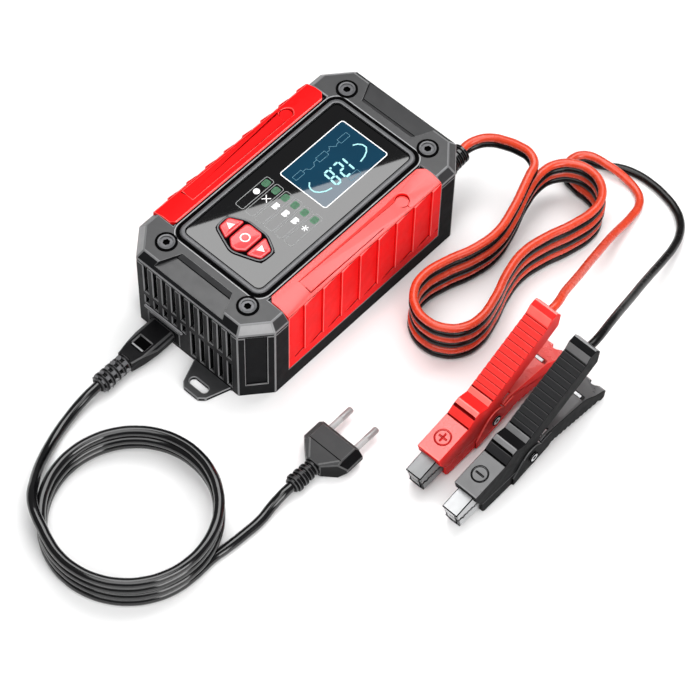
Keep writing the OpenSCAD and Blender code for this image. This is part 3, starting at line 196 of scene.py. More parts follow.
# darker red for a key's sideways faces: painted shade on its sides
BUTTON_SIDE_SHADE = material("button_side_painted_shade", (0.3, 0.006, 0.008), 0.4, grain=0.1, mottle=0.08)
KEY_BAND = material("keypad_band", (0.1, 0.1, 0.105), 0.35, grain=0.1, mottle=0.1)
SCREW = material("screw_steel", (0.1, 0.1, 0.105), 0.35, metallic=0.8, grain=0.2, mottle=0.15, mottle_size=2)
CORD_BLACK = material("cord_black", (0.003, 0.003, 0.0035), 0.12, specular=0.6, grain=0.08, grain_size=1.2,
                      mottle=0.2, rough_spread=0.04)
PLUG_BLACK = material("plug_black", (0.004, 0.004, 0.0045), 0.36, specular=0.06, grain=0.3, grain_size=0.5,
                      mottle=0.15, rough_spread=0.05)
# lighter, glossier copy of the plug plastic for up-facing faces: painted sheen
PLUG_TOP_SHEEN = material("plug_top_painted_sheen", (0.012, 0.012, 0.013), 0.4, specular=0.3, grain=0.3, grain_size=0.5,
                    mottle=0.15)
# dark grey for rounded edges and the plug's panel lines, lighter than the black plastic: painted edge highlight
PLUG_EDGE_HIGHLIGHT = material("plug_edge_painted_highlight", (0.035, 0.035, 0.036), 0.35, grain=0.2, mottle=0.1)
LEAD_RED = material("lead_red", (0.6, 0.05, 0.018), 0.26, grain=0.1, grain_size=1.0, mottle=0.06,
                    rough_spread=0.05)
LEAD_BLACK = material("lead_black", (0.004, 0.0035, 0.0035), 0.25, specular=0.3, grain=0.1, grain_size=1.0,
                      mottle=0.2, rough_spread=0.05)
PIN_METAL = material("pin_metal", (0.3, 0.3, 0.3), 0.34, metallic=0.35, grain=0.05, mottle=0.06,
                     rough_spread=0.06)
PIN_SLEEVE = material("pin_sleeve", (0.35, 0.35, 0.35), 0.4, grain=0.1, mottle=0.05)
CLAMP_RED = material("clamp_red", (0.75, 0.016, 0.014), 0.5, specular=0.08, grain=0.25, grain_size=0.4, mottle=0.05,
                     rough_spread=0.04)
# lighter copy of the red clamp plastic for up-facing faces: painted sheen
CLAMP_RED_TOP_SHEEN = material("clamp_red_top_painted_sheen", (0.8, 0.1, 0.09), 0.28, grain=0.2, grain_size=0.4, mottle=0.05,
                         rough_spread=0.03)
CLAMP_BLACK = material("clamp_black", (0.006, 0.006, 0.0065), 0.45, specular=0.02, grain=0.25, grain_size=0.4,
                       mottle=0.1, rough_spread=0.05)
# lighter copy of the black clamp plastic for up-facing faces: painted sheen
CLAMP_BLACK_TOP_SHEEN = material("clamp_black_top_painted_sheen", (0.08, 0.08, 0.082), 0.3, grain=0.2, grain_size=0.4, mottle=0.1,
                           rough_spread=0.03)
# still lighter copies of the clamp plastics for bands across the shells: painted highlights
CLAMP_RED_LIT = material("clamp_red_lit", (0.85, 0.13, 0.11), 0.25, grain=0.15, mottle=0.05)
CLAMP_BLACK_LIT = material("clamp_black_lit", (0.12, 0.12, 0.122), 0.25, grain=0.15, mottle=0.1)
# copies for the up-facing faces of the ribbed bands, glossier than the sides and darker than the sheen copies:
# painted light for the ribs
RIBS = {"red": material("clamp_red_rib", (0.76, 0.03, 0.025), 0.32, specular=0.35, grain=0.2, mottle=0.05),
        "black": material("clamp_black_rib", (0.014, 0.014, 0.015), 0.32, specular=0.35, grain=0.2, mottle=0.1)}
# darker red for the moulded ring and sign on the red clamp's nose: painted shade of their relief
RED_MARK_SHADE = material("red_mark_shade", (0.38, 0.008, 0.007), 0.6, specular=0.05, mottle=0.05)
JAW = material("jaw_steel", (0.42, 0.425, 0.43), 0.4, metallic=0.6, grain=0.12, grain_size=0.6, mottle=0.06,
               rough_spread=0.07, stretch=(1, 0.15, 1))
JAW_DULL = material("jaw_steel_dull", (0.2, 0.203, 0.206), 0.42, metallic=0.6, grain=0.2, grain_size=0.5,
                    mottle=0.08, rough_spread=0.07, stretch=(1, 0.15, 1))
RIVET = material("rivet_steel", (0.6, 0.61, 0.62), 0.3, metallic=0.9, grain=0.1, mottle=0.08)
BOARD = material("board", (0.02, 0.16, 0.06), 0.45, coat=0.3, grain=0.1, mottle=0.3, mottle_size=3)
FERRITE = material("ferrite", (0.05, 0.05, 0.055), 0.6, grain=0.5, mottle=0.2, mottle_size=2)
COPPER = material("copper", (0.7, 0.3, 0.12), 0.3, metallic=0.9, grain=0.5, grain_size=0.7, mottle=0.15,
                  stretch=(0.2, 1, 1))
HEATSINK = material("heatsink_aluminium", (0.6, 0.62, 0.64), 0.35, metallic=1.0, grain=0.3, mottle=0.1,
                    stretch=(1, 0.1, 1))
COMPONENT = material("component_plastic", (0.02, 0.02, 0.022), 0.45, grain=0.3, mottle=0.2)
PLATED = material("fuse_metal", (0.65, 0.66, 0.68), 0.25, metallic=1.0, grain=0.2, mottle=0.1)


# ------------------------ making pieces
WELD = 0.002
CUT_WELD = 0.001
FLAT_ANGLE = math.radians(0.6)
SHARP_ANGLE = math.radians(24)
CREASE_WIDTH = 0.32
# the most of the room beside an edge that a crease or a bevel takes
CREASE_SHARE = 0.4
BEVEL_SHARE = 0.45
# a neighbouring edge bounds that room if at least this share of its length leads away
SIDEWAYS = 0.3


def add_piece(name, data, finish, body=BODY, replaces=()):
    piece = bpy.data.objects.new(name, data)
    bpy.context.scene.collection.objects.link(piece)
    data.materials.clear()
    data.materials.append(finish)
    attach(piece, body)
    if replaces:
        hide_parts(*replaces)
    return piece


def room_beside(edge):
    """How far the faces beside an edge reach away from it at its ends."""
    room = 1.0
    for vert in edge.verts:
        along = (edge.other_vert(vert).co - vert.co).normalized()
        for other in vert.link_edges:
            step = other.other_vert(vert).co - vert.co
            away = (step - along * step.dot(along)).length
            if other is not edge and away > SIDEWAYS * step.length and set(other.link_faces) & set(edge.link_faces):
                room = min(room, away)
    return room


def round_over(piece, width, segments=3, edge=None):
    bevel = piece.modifiers.new("edges", "BEVEL")
    bevel.width = width * MM
    bevel.segments = segments
    bevel.limit_method = "WEIGHT"
    bevel.use_clamp_overlap = False
    bevel.harden_normals = True
    # the bevel's own faces take the edge finish, which callers make a painted highlight or painted shade
    if edge:
        piece.data.materials.append(edge)
        bevel.material = len(piece.data.materials) - 1


def softened(node, finish, width=0.5, segments=3, body=BODY, top=None, least=0.3, edge=None, shade=None,
             cuts=(), areas=()):
    """A CAD node's own shape with outer edges rounded over, inner corners lined with strips of painted shade and
    faces in several finishes, up-facing ones in the top finish, which callers make a lighter painted-sheen copy.
    """
    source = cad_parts[node].data
    mesh = bpy.data.meshes.new(node + "_shape")
    mesh.from_pydata([v.co[:] for v in source.vertices], [], [p.vertices[:] for p in source.polygons])
    work = bmesh.new()
    work.from_mesh(mesh)
    bmesh.ops.remove_doubles(work, verts=work.verts, dist=WELD * MM)
    bmesh.ops.dissolve_limit(work, angle_limit=FLAT_ANGLE, verts=work.verts, edges=work.edges)
    for place, turn in cuts:
        geometry = work.verts[:] + work.edges[:] + work.faces[:]
        bmesh.ops.bisect_plane(work, geom=geometry, dist=CUT_WELD * MM, plane_co=metres(place), plane_no=Vector(turn))
    finishes = [finish]
    rules = ([(lambda centre, normal: normal.z > least, top)] if top else []) + list(areas)
    for face in work.faces:
        face.smooth = True
        centre = face.calc_center_median() / MM
        for holds, other in rules:
            if holds(centre, face.normal):
                if other not in finishes:
                    finishes.append(other)
                face.material_index = finishes.index(other)
    crease_shades = []
    # strips of painted shade along the sharp inner corners
    for e in work.edges if shade else []:
        if len(e.link_loops) == 2 and not e.is_convex and e.calc_face_angle(0) > SHARP_ANGLE:
            sides = [loop.face.normal.cross(loop.link_loop_next.vert.co - loop.vert.co).normalized()
                     for loop in e.link_loops]
            a, b = e.verts[0].co.copy(), e.verts[1].co.copy()
            wide = min(CREASE_WIDTH * MM, CREASE_SHARE * room_beside(e))
            crease_shades.append([p + side * wide for p, side in ((a, sides[0]), (b, sides[0]), (b, sides[1]),
                                                            (a, sides[1]))])
    weight = work.edges.layers.float.new("bevel_weight_edge")
    for e in work.edges:
        if len(e.link_faces) == 2 and e.calc_face_angle(0) > SHARP_ANGLE:
            if e.is_convex:
                e[weight] = min(1, BEVEL_SHARE * room_beside(e) / (width * MM))
            else:
                e.smooth = False
    work.to_mesh(mesh)
    work.free()
    marks = [p.material_index for p in mesh.polygons]
    piece = add_piece(node + "_skin", mesh, finish, body, [node])
    for other in finishes[1:]:
        mesh.materials.append(other)
    for polygon, mark in zip(mesh.polygons, marks):
        polygon.material_index = mark
    round_over(piece, width, segments, edge)
    if crease_shades:
        lines = bpy.data.meshes.new(node + "_crease_shades")
        corners = [p for crease in crease_shades for p in crease]
        lines.from_pydata(corners, [], [tuple(range(i, i + 4)) for i in range(0, len(corners), 4)])
        add_piece(node + "_crease_shades", lines, shade, body)
    return piece


def dress(node, finish):
    """A new finish for a CAD node that shows as it is."""
    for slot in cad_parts[node].material_slots:
        slot.material = finish


def mesh_of(name, verts, faces, smooth=False):
    mesh = bpy.data.meshes.new(name)
    mesh.from_pydata([metres(v) for v in verts], [], faces)
    mesh.update()
    work = bmesh.new()
    work.from_mesh(mesh)
    bmesh.ops.recalc_face_normals(work, faces=work.faces)
    for face in work.faces:
        face.smooth = smooth
    work.to_mesh(mesh)
    work.free()
    return mesh


def ring_faces(rings, count, base=0, wrap=False):
    """Four-sided faces between rings of count points; wrap joins the last ring to the first."""
    faces = []
    for k in range(rings if wrap else rings - 1):
        near = base + k * count
        far = base + (k + 1) % rings * count
        faces += [(near + i, near + (i + 1) % count, far + (i + 1) % count, far + i) for i in range(count)]
    return faces


def prism_faces(base=0):
    """Six faces of a bar whose eight corners are two rings of four."""
    return ring_faces(2, 4, base) + [tuple(range(base, base + 4)), tuple(range(base + 4, base + 8))]


# ------------------------ cords
MAINS_D = 6
LEAD_D = 5
LEAD_STEP = 5.3
STRAIGHT = 6
INLET = Vector((-19.5, -142, 8.5))
PLUG_END = Vector((102.5, -115, 7))

COIL_CENTRE = (53, -189)
COIL_R = 48.4
COIL_TURNS = 3.31
COIL_STEP = 6.5
COIL_Z = 3.1
COIL_ZIG = 1.2
COIL_POINTS = 79


def swing(u):
    """Runs steadily from 1 to 0 and back as u goes from 0 to 2."""
    return abs(u % 2 - 1)


def ease(u):
    """Rises smoothly from 0 to 1 as u does."""
    u = min(1, max(0, u))
    return u * u * (3 - 2 * u)


def coil_at(s):
    """The mains coil after s rounds: each lies flat for nearly half its way, then climbs to the next."""
    whole = math.floor(s)
    level = whole + min(1, max(0, 2 * (s - whole - 0.44)))
    r = COIL_R - COIL_ZIG * swing(s + 0.31)
    a = -2 * math.pi * s
    return Vector((COIL_CENTRE[0] + r * math.cos(a), COIL_CENTRE[1] + r * math.sin(a), COIL_Z + COIL_STEP * level))


def mains_route():
    """From the connector up onto the coil's top round, down through the coil and out to the plug."""
    coil = [coil_at(COIL_TURNS * i / COIL_POINTS) for i in range(COIL_POINTS + 1)]
    a = -2 * math.pi * COIL_TURNS
    leaving = Vector((math.sin(a), -math.cos(a), 0))
    top = coil[-1] + STRAIGHT * leaving
    foot = coil[0] + Vector((0, STRAIGHT, 0))
    first = [INLET, (-19.4, -151, 7.8), (-19, -159.6, 6.2), (-17.9, -167.7, 5), (-15.8, -177.1, 4.6),
             (-12.6, -186.4, 5.4), (-8.5, -195.2, 7.6), (-3.5, -203.5, 11.2), (2.4, -211.3, 15.6),
             (9.6, -219.6, 20.2), (16.2, -224.8, 22), (22.6, -228.2, 22.5), top]
    last = [foot, foot + Vector((0, 8, 0)), (102, -164, 3.1), (103, -152, 3.1), (103.5, -140, 3.5),
            (PLUG_END.x, -130, 4.9), PLUG_END + Vector((0, -6, 0)), PLUG_END]
    return [Vector(p) for p in first + coil[::-1] + last]


HANK_X = 93
HANK_Y0 = 26
HANK_Y1 = 128
HANK_Z = 2.6
HANK_STEP = 10.8
HANK_WAIST = 10
HANK_FAR = 20.5
HANK_NEAR = 21.5
HANK_ZIG = 1.2
HANK_POINTS = 24
HANK_QUARTER = 6
HANK_CLIMB = 4
HANK_START = 3
HANK_STOP = 71
GLAND = Vector((32, 104, 33))


def run_half(t, r0, r1, e):
    """Half the hank's width along a straight run, from r0 through the waist to r1."""
    return HANK_WAIST + e + (r0 + (r1 - r0) * t - HANK_WAIST) * (0.5 + 0.5 * math.cos(2 * math.pi * t))


def hank_at(j):
    """Point j of the hank: each round is a far bend, a run, a near bend and a run back that climbs at its end."""
    e = -HANK_ZIG * swing((j + 2) / HANK_POINTS)
    quarter, k = divmod(j % HANK_POINTS, HANK_QUARTER)
    level = j // HANK_POINTS + ease((j % HANK_POINTS - HANK_POINTS + HANK_CLIMB) / HANK_CLIMB)
    t = k / HANK_QUARTER
    a = math.radians(180 * k / HANK_QUARTER)
    if quarter == 0:
        x, y = HANK_X - (HANK_FAR + e) * math.cos(a), HANK_Y1 + (HANK_FAR + e) * math.sin(a)
    elif quarter == 1:
        x, y = HANK_X + run_half(t, HANK_FAR, HANK_NEAR, e), HANK_Y1 + (HANK_Y0 - HANK_Y1) * t
    elif quarter == 2:
        x, y = HANK_X + (HANK_NEAR + e) * math.cos(a), HANK_Y0 - (HANK_NEAR + e) * math.sin(a)
    else:
        x, y = HANK_X - run_half(t, HANK_NEAR, HANK_FAR, e), HANK_Y0 + (HANK_Y1 - HANK_Y0) * t
    return Vector((x, y, HANK_Z + HANK_STEP * level))


HAIRPIN = [(82, 148.5), (77.2, 149.6), (73.2, 152.8), (71.2, 157.2), (71.2, 161.8), (73.2, 166.2), (77.2, 169.4),
           (82, 170.8)]
TIP = {"red": Vector((150.3, -67.9, 0)), "black": Vector((179.8, -71.5, 0))}
CLAMP_TURN = {"red": math.radians(0.3), "black": math.radians(-0.4)}
CABLE_A = 106.4
CABLE_Z = 57
TAIL = {
    "black": [(88, 174.2, 2.6), (95, 178.6, 2.6), (104, 181.4, 2.6), (115, 182, 2.6), (126, 180.6, 2.6),
              (136, 177.6, 2.6), (144.7, 171.6, 3.4), (151.2, 162.2, 5.6), (155.4, 150.6, 9), (158.3, 137.6, 13.6),
              (161.2, 123.5, 19.4), (165, 107, 27.4), (169.3, 90.5, 36), (173.2, 75.3, 44.4), (177, 60.5, 51.8)],
    "red": [(88, 171.4, 7.8), (95, 172.6, 6.5), (102, 173.2, 4.6), (109, 172.6, 3), (115.5, 169.6, 2.6),
            (119.8, 163.5, 3), (121.8, 155, 4.4), (123.3, 146, 7), (124.9, 135, 11), (127.4, 123, 16),
            (130.4, 111.2, 21.6), (134.3, 97.5, 29.4), (138.7, 83.7, 38), (142.6, 70.6, 46), (146, 58.5, 52.8)],
}
LEAD_IN = {"red": (CABLE_A + 8, CABLE_Z + 0.6), "black": (CABLE_A + 8, CABLE_Z + 0.4)}
IN_HANDLE = [(CABLE_A, CABLE_Z), (101, 55), (92, 49), (80, 41.6), (68, 34.6), (60, 31)]


def clamp_point(colour, a, z, across=0):
    """A place on a clamp: a along it from its jaw tips, across its middle and z above the ground."""
    sin, cos = math.sin(CLAMP_TURN[colour]), math.cos(CLAMP_TURN[colour])
    tip = TIP[colour]
    return Vector((tip.x - a * sin + across * cos, tip.y + a * cos + across * sin, z))


def lead_route(colour):
    """From the gland round the hank, through the hairpin and the tail, and up into the clamp's handle."""
    lift = Vector((0, 0, LEAD_STEP if colour == "red" else 0))
    body = [hank_at(j) for j in range(HANK_START, HANK_STOP + 1)]
    tail = body[0] + Vector((-5, 0, 0))
    leaving = (body[-1] - body[-2]).normalized()
    head = body[-1] + 5 * leaving
    low = GLAND - Vector((0, 0, LEAD_STEP / 2))
    start = [low, low + Vector((0, 5, 0.3)), (34.5, 115.5, 31.6), (40, 120.8, 33), (48, 124, 34.4), (57, 125.8, 35.6),
             (65, 125.6, 36.2), head + 6 * leaving, head]
    pin = [Vector((x, y, HANK_Z)) for x, y in HAIRPIN]
    tied = [Vector(p) + lift for p in start + body[::-1] + [tail] + pin]
    free = [Vector(p) for p in TAIL[colour]]
    end = [clamp_point(colour, a, z) for a, z in [LEAD_IN[colour]] + IN_HANDLE]
    return tied + free + end


SPAN_STEPS = 8


def cord_curve(name, route, diameter, finish, replaces):
    """A round cord along a route, as one open smooth curve. Returns it and its length in metres."""
    data = bpy.data.curves.new(name, "CURVE")
    data.dimensions = "3D"
    data.bevel_depth = diameter / 2 * MM
    data.bevel_resolution = 6
    data.resolution_u = 6
    data.use_fill_caps = True
    line = data.splines.new("BEZIER")
    line.bezier_points.add(len(route) - 1)
    for point, place in zip(line.bezier_points, route):
        point.co = metres(place)
        point.handle_left_type = point.handle_right_type = "AUTO"
    piece = add_piece(name, data, finish, replaces=replaces)
    length = 0.0
    spans = [(route[i - 1] if i else route[0], route[i], route[i + 1], route[min(i + 2, len(route) - 1)])
             for i in range(len(route) - 1)]
    for before, a, b, after in spans:
        turn0 = (b - before).normalized()
        turn1 = (after - a).normalized()
        gap = (b - a).length
        steps = [a]
        for n in range(1, SPAN_STEPS + 1):
            t = n / SPAN_STEPS
            h0, h1, h2, h3 = 1 - 3 * t**2 + 2 * t**3, 3 * t**2 - 2 * t**3, t - 2 * t**2 + t**3, t**3 - t**2
            steps.append(a * h0 + b * h1 + turn0 * gap * h2 + turn1 * gap * h3)
        length += sum((q - p).length for p, q in zip(steps, steps[1:]))
    return piece, length * MM


mains_cord, mains_length = cord_curve("mains_cord", mains_route(), MAINS_D, CORD_BLACK,
                                      ["mains_cord_in", "mains_coil", "mains_cord_out"])
for tint, finish, slot in (("red", LEAD_RED, "lead_red"), ("black", LEAD_BLACK, "cord_black")):
    nodes = [tint + "_lead_exit", tint + "_hank", tint + "_lead_tail", tint + "_inner_lead"]
    cord_curve(tint + "_lead", lead_route(tint), LEAD_D, finish, nodes)


# ------------------------ case
HALF_L = 90
COVER_TOP = 65
SCREW_X = 31
SCREW_Y = 73.5


def on_front(centre, normal):
    return normal.y < -0.8 and centre.y < 0.1 - HALF_L


def on_hood(centre, normal):
    return centre.y < -0.6 - HALF_L and 17 < centre.z < 21


# each case skin: up-facing faces in the painted-sheen copy, rounded edges in painted highlight, inner corners lined
# with painted shade, front faces in their own painted-light copy and the hood ledge in painted highlight; on the
# cover the sloping side facets take the sheen copy and the front corner facets a painted highlight
softened("lower_case", CASE, 0.6, top=CASE_TOP_SHEEN, edge=CASE_EDGE_HIGHLIGHT, shade=SHADE,
         areas=[(on_front, CASE_FRONT_SHADING), (on_hood, LEDGE_HIGHLIGHT)])
softened("top_cover", CASE, 0.7, top=CASE_TOP_SHEEN, least=0.8, edge=CASE_EDGE_HIGHLIGHT, shade=SHADE,
         areas=[(on_front, CASE_FRONT_SHADING), (lambda c, n: n.z > 0.3 and abs(n.x) > 0.3, CASE_TOP_SHEEN),
                (lambda c, n: 0.3 < n.z < 0.9 and abs(n.x) > 0.25 and n.y < -0.25, CASE_FACET_HIGHLIGHT)])
# the right trim's tops take the painted-sheen copy and the left trim's tops keep the side red; edges carry painted
# highlight and inner corners painted shade
for side in ("left", "right"):
    softened("side_trim_" + side, TRIM, 0.5, top=TRIM_TOP_SHEEN if side == "right" else TRIM,
             edge=TRIM_EDGE_HIGHLIGHT, shade=RED_SHADE)
softened("keypad_bezel", SHADE, 0.3, shade=SHADE)


# ------------------------ turned pieces
TURNED_ANGLE = math.radians(32)
TURNED_STEPS = 40


def lathe(name, profile, start, axis, finish, replaces=(), finishes=()):
    """A turned piece: profile pairs are distance along axis and radius; finishes may name one per profile step."""
    axis = Vector(axis).normalized()
    side = axis.orthogonal().normalized()
    other = axis.cross(side)
    starts = start if isinstance(start, list) else [start]
    steps = TURNED_STEPS
    verts = []
    faces = []
    kinds = []
    for origin in starts:
        base = len(verts)
        for along, r in profile:
            for i in range(steps):
                a = 2 * math.pi * i / steps
                verts.append(Vector(origin) + axis * along + (side * math.cos(a) + other * math.sin(a)) * r)
        faces += ring_faces(len(profile), steps, base)
        kinds += [k for k in range(len(profile) - 1) for _ in range(steps)]
        if profile[0] != profile[-1]:
            last = base + (len(profile) - 1) * steps
            faces.append(tuple(range(base, base + steps)))
            faces.append(tuple(range(last, last + steps)))
            kinds += [0, len(profile) - 2]
    mesh = mesh_of(name, verts, faces, True)
    mesh.set_sharp_from_angle(angle=TURNED_ANGLE)
    piece = add_piece(name, mesh, finish, replaces=replaces)
    for extra in finishes:
        if extra not in mesh.materials[:]:
            mesh.materials.append(extra)
    for polygon, kind in zip(mesh.polygons, kinds if finishes else []):
        polygon.material_index = mesh.materials[:].index(finishes[kind])
    return piece


# screws at each corner of the cover: a raised ring in painted shade that stands for a groove, a raised collar whose
# grey is painted sheen, and a deep hexagon socket, the screw itself in painted shade under its steel top
SCREWS = [Vector((x, y, COVER_TOP)) for x in (-SCREW_X, SCREW_X) for y in (-SCREW_Y, SCREW_Y)]
SCREW_SHADE_RING = [(0.02, 5), (0.02, 6.4), (0.53, 6.4), (0.53, 5), (0.02, 5)]
SCREW_COLLAR = [(0.3, 3.75), (0.3, 5), (0.6, 5), (0.85, 4.7), (0.85, 4), (0.7, 3.75), (0.3, 3.75)]
softened("case_screws", SHADE, 0.2, areas=[(lambda c, n: n.z > 0.9 and c.z > COVER_TOP - 0.1, SCREW)])
lathe("screw_groove_shades", SCREW_SHADE_RING, SCREWS, (0, 0, 1), SHADE)
lathe("screw_collars", SCREW_COLLAR, SCREWS, (0, 0, 1), SURROUND_SHEEN)


# ------------------------ printed marks, lines of painted shade and highlight, and lit marks
RAISE = 0.03
MITRE = 0.35


def strokes(name, lines, width, z, finish, closed=False, body=BODY):
    """Thin flat lines, for print and for painted shade and highlights: each list of points becomes a thin flat band
    with mitred corners.
    """
    verts = []
    faces = []
    for line in lines:
        points = [Vector((p[0], p[1])) for p in line]
        count = len(points)
        start = len(verts)
        for i, p in enumerate(points):
            before = points[i - 1] if i or closed else None
            after = points[(i + 1) % count] if i < count - 1 or closed else None
            d0 = (p - before).normalized() if before is not None else (after - p).normalized()
            d1 = (after - p).normalized() if after is not None else d0
            n = Vector((-d0.y - d1.y, d0.x + d1.x))
            n = n.normalized() / max(MITRE, n.normalized().dot(Vector((-d0.y, d0.x))))
            for side in (-1, 1):
                q = p + n * side * width / 2
                verts.append((q.x, q.y, z(q.x, q.y) if callable(z) else z))
        turns = count if closed else count - 1
        for i in range(turns):
            a = start + 2 * i
            b = start + 2 * ((i + 1) % count)
            faces.append((a, a + 1, b + 1, b))
    return flat_marks(name, verts, faces, finish, body)


def fills(name, outlines, z, finish, body=BODY):
    """Printed shapes: each outline becomes a thin flat plate."""
    verts = []
    faces = []
    for outline in outlines:
        faces.append(tuple(range(len(verts), len(verts) + len(outline))))
        verts += [(p[0], p[1], z) for p in outline]
    return flat_marks(name, verts, faces, finish, body)


def flat_marks(name, verts, faces, finish, body):
    mesh = mesh_of(name, verts, faces)
    for polygon in mesh.polygons:
        if polygon.normal.z < 0:
            polygon.flip()
    piece = add_piece(name, mesh, finish, body)
    mark_thickness = piece.modifiers.new("mark_thickness", "SOLIDIFY")
    mark_thickness.thickness = RAISE * MM
    mark_thickness.offset = 1
    return piece


def round_rect(x0, x1, y0, y1, r, steps=5):
    points = []
    for cx, cy, start in ((x1 - r, y1 - r, 0), (x0 + r, y1 - r, 90), (x0 + r, y0 + r, 180), (x1 - r, y0 + r, 270)):
        for i in range(steps + 1):
            a = math.radians(start + 90 * i / steps)
            points.append((cx + r * math.cos(a), cy + r * math.sin(a)))
    return points


def middle_rect(x, y, r, steps):
    """A rounded rectangle about the cover's middle, given by its half sizes."""
    return round_rect(-x, x, -y, y, r, steps)


def arc(cx, cy, rx, ry, start, end, steps=24):
    return [(cx + rx * math.cos(math.radians(start + (end - start) * i / steps)),
             cy + ry * math.sin(math.radians(start + (end - start) * i / steps))) for i in range(steps + 1)]


# the lens: one plate with a softly bevelled edge
softened("display_lens", LENS, 0.3)
LENS_TOP = top_of("display_lens")
LCD_TOP = LENS_TOP + RAISE
LCD_X = 17.5
LCD_Y = (3, 55)
FRAME_X = 29
FRAME_Y = 62.5
FRAME_R = 3.5
FRAME_TOP = 66.2
FRAME_FOOT = 63.2
SEAM_X = 35.6
SOFT_ANGLE = math.radians(50)


def make_frame():
    """The display's frame: a rounded rectangular ring with a soft top in grey that is painted sheen, between walls in
    painted shade.
    """
    levels = [(0, FRAME_FOOT), (0, FRAME_TOP - 0.5), (0.35, FRAME_TOP - 0.1), (0.7, FRAME_TOP), (2.2, FRAME_TOP),
              (2.7, FRAME_TOP - 0.2), (3, FRAME_TOP - 0.7), (3, FRAME_TOP - 2.2), (2.5, FRAME_FOOT)]
    verts = []
    for out, z in levels:
        verts += [(x, y, z) for x, y in middle_rect(FRAME_X + out, FRAME_Y + out, FRAME_R + out, 8)]
    faces = ring_faces(len(levels), len(verts) // len(levels), wrap=True)
    mesh = mesh_of("display_frame", verts, faces, True)
    mesh.set_sharp_from_angle(angle=SOFT_ANGLE)
    add_piece("display_frame", mesh, SHADE, replaces=["display_bezel"])
    mesh.materials.append(SURROUND_SHEEN)
    for polygon in mesh.polygons:
        if polygon.normal.z > 0.4:
            polygon.material_index = 1


make_frame()

# dark lines of painted shade for the groove round the display's frame, the seams beside the trims and the gap round
# the lens, and a light line of painted highlight for the frame's lip
strokes("frame_groove_shade", [middle_rect(33.2, 66.7, 7.5, 8)], 2.2, COVER_TOP, SHADE, True)
seams = [[(s * SEAM_X, -61.5), (s * SEAM_X, 61)] for s in (-1, 1)]
strokes("trim_seam_shades", seams, 0.7, COVER_TOP, SHADE)
strokes("frame_lip_highlight", [middle_rect(34.75, 68.2, 8.5, 8)], 0.55, COVER_TOP, RIM_HIGHLIGHT, True)
strokes("lens_gap_shade", [middle_rect(FRAME_X + 0.1, FRAME_Y + 0.1, 4, 6)], 0.45, FRAME_TOP, SHADE,
        True)

# display window: a glowing blue plate laid into the lens
window = round_rect(-LCD_X, LCD_X, *LCD_Y, 1.6)
fills("display_window", [window], LENS_TOP, LCD)
strokes("display_outline", [window], 0.6, LCD_TOP, GLOWING_PRINT, closed=True)

# seven-segment digits read towards -Y with their tops towards +X
SEGMENTS = {"1": "bc", "2": "abged", "8": "abcdefg"}
DIGIT_H = 10.6
DIGIT_W = 5.2
BAR = 1.25
SLANT = 0.08
DIGITS = (("1", 0.6, 39.0), ("2", 0.6, 31.6), ("8", 0.6, 24.0))


def bar(u0, v0, u1, v1):
    """One segment of a digit, pointed at both ends."""
    a, b = Vector((u0, v0)), Vector((u1, v1))
    d = (b - a).normalized()
    n = Vector((-d.y, d.x)) * BAR / 2
    a, b = a + d * 0.25, b - d * 0.25
    tip = d * BAR / 2
    return [a, a + tip + n, b - tip + n, b, b - tip - n, a + tip - n]


def digit(figure, x0, y0):
    """The bars of one leaning figure whose foot starts at x0, y0."""
    w, h = DIGIT_W - BAR, DIGIT_H
    ends = {"a": (0, h, w, h), "b": (w, h, w, h / 2), "c": (w, h / 2, w, 0), "d": (0, 0, w, 0),
            "e": (0, 0, 0, h / 2), "f": (0, h / 2, 0, h), "g": (0, h / 2, w, h / 2)}
    return [[(x0 + p.y, y0 - p.x - SLANT * p.y) for p in bar(*ends[key])] for key in SEGMENTS[figure]]


digits = []
for figure, x0, y0 in DIGITS:
    digits += digit(figure, x0, y0)
digits.append(arc(0.7, 25.4, 0.75, 0.75, 0, 330, 10))
fills("display_digits", digits, LCD_TOP, SEGMENT)
left_arc = [(-1.2, 10.2), (0.4, 8.2), (2.6, 7.1), (5.2, 7.2), (7.6, 9), (9.6, 12), (10.6, 16)]
right_arc = [(-1.2, 46), (0.4, 48.6), (2.6, 50), (5.2, 50.2), (7.4, 48), (9, 44.6), (9.8, 40.5)]
strokes("display_arcs", [left_arc, right_arc], 0.8, LCD_TOP, SEGMENT)

# faint outlines of the charging stages, upper side of the display
stages = [round_rect(-10.6, -7.4, 6, 13, 0.4, 2), round_rect(-10.2, -6.6, 24.5, 32, 0.4, 2),
          round_rect(-10.2, -6.8, 42.5, 50, 0.4, 2), round_rect(12, 15.2, 27, 35, 0.4, 2)]
strokes("display_boxes", stages, 0.28, LCD_TOP, FAINT, closed=True)
links = [[(-9, 13), (-9, 15.5), (-7, 17), (-7, 20.5), (-9, 22), (-9, 24.5)],
         [(-8.4, 32), (-8.4, 34.5), (-10.4, 36), (-7.4, 39), (-8.4, 40.5), (-8.4, 42.5)]]
strokes("display_links", links, 0.28, LCD_TOP, FAINT)

# six lamp slots, each with a green lamp window and a plain sign
LAMP_X = (-18.5, -11, -3.7, 3.7, 11, 18.5)
SLOT_HALF = 2.95
SLOT_Y = (-29, -3)
frames = [round_rect(x - SLOT_HALF, x + SLOT_HALF, *SLOT_Y, 1.3, 4) for x in LAMP_X]
strokes("slot_outlines", frames, 0.42, LENS_TOP, SLOT_PRINT, closed=True)
lamps = [round_rect(x - 2.1, x + 2.1, -9.4, -4.4, 1.2, 4) for x in LAMP_X]
fills("lamp_windows", lamps, LENS_TOP, LAMP)
lamp_ribs = [[(x - 1.6, y), (x + 1.6, y)] for x in LAMP_X for y in (-8.4, -7.4, -6.4, -5.4)]
strokes("lamp_ribs", lamp_ribs, 0.3, LCD_TOP, LAMP_DARK)


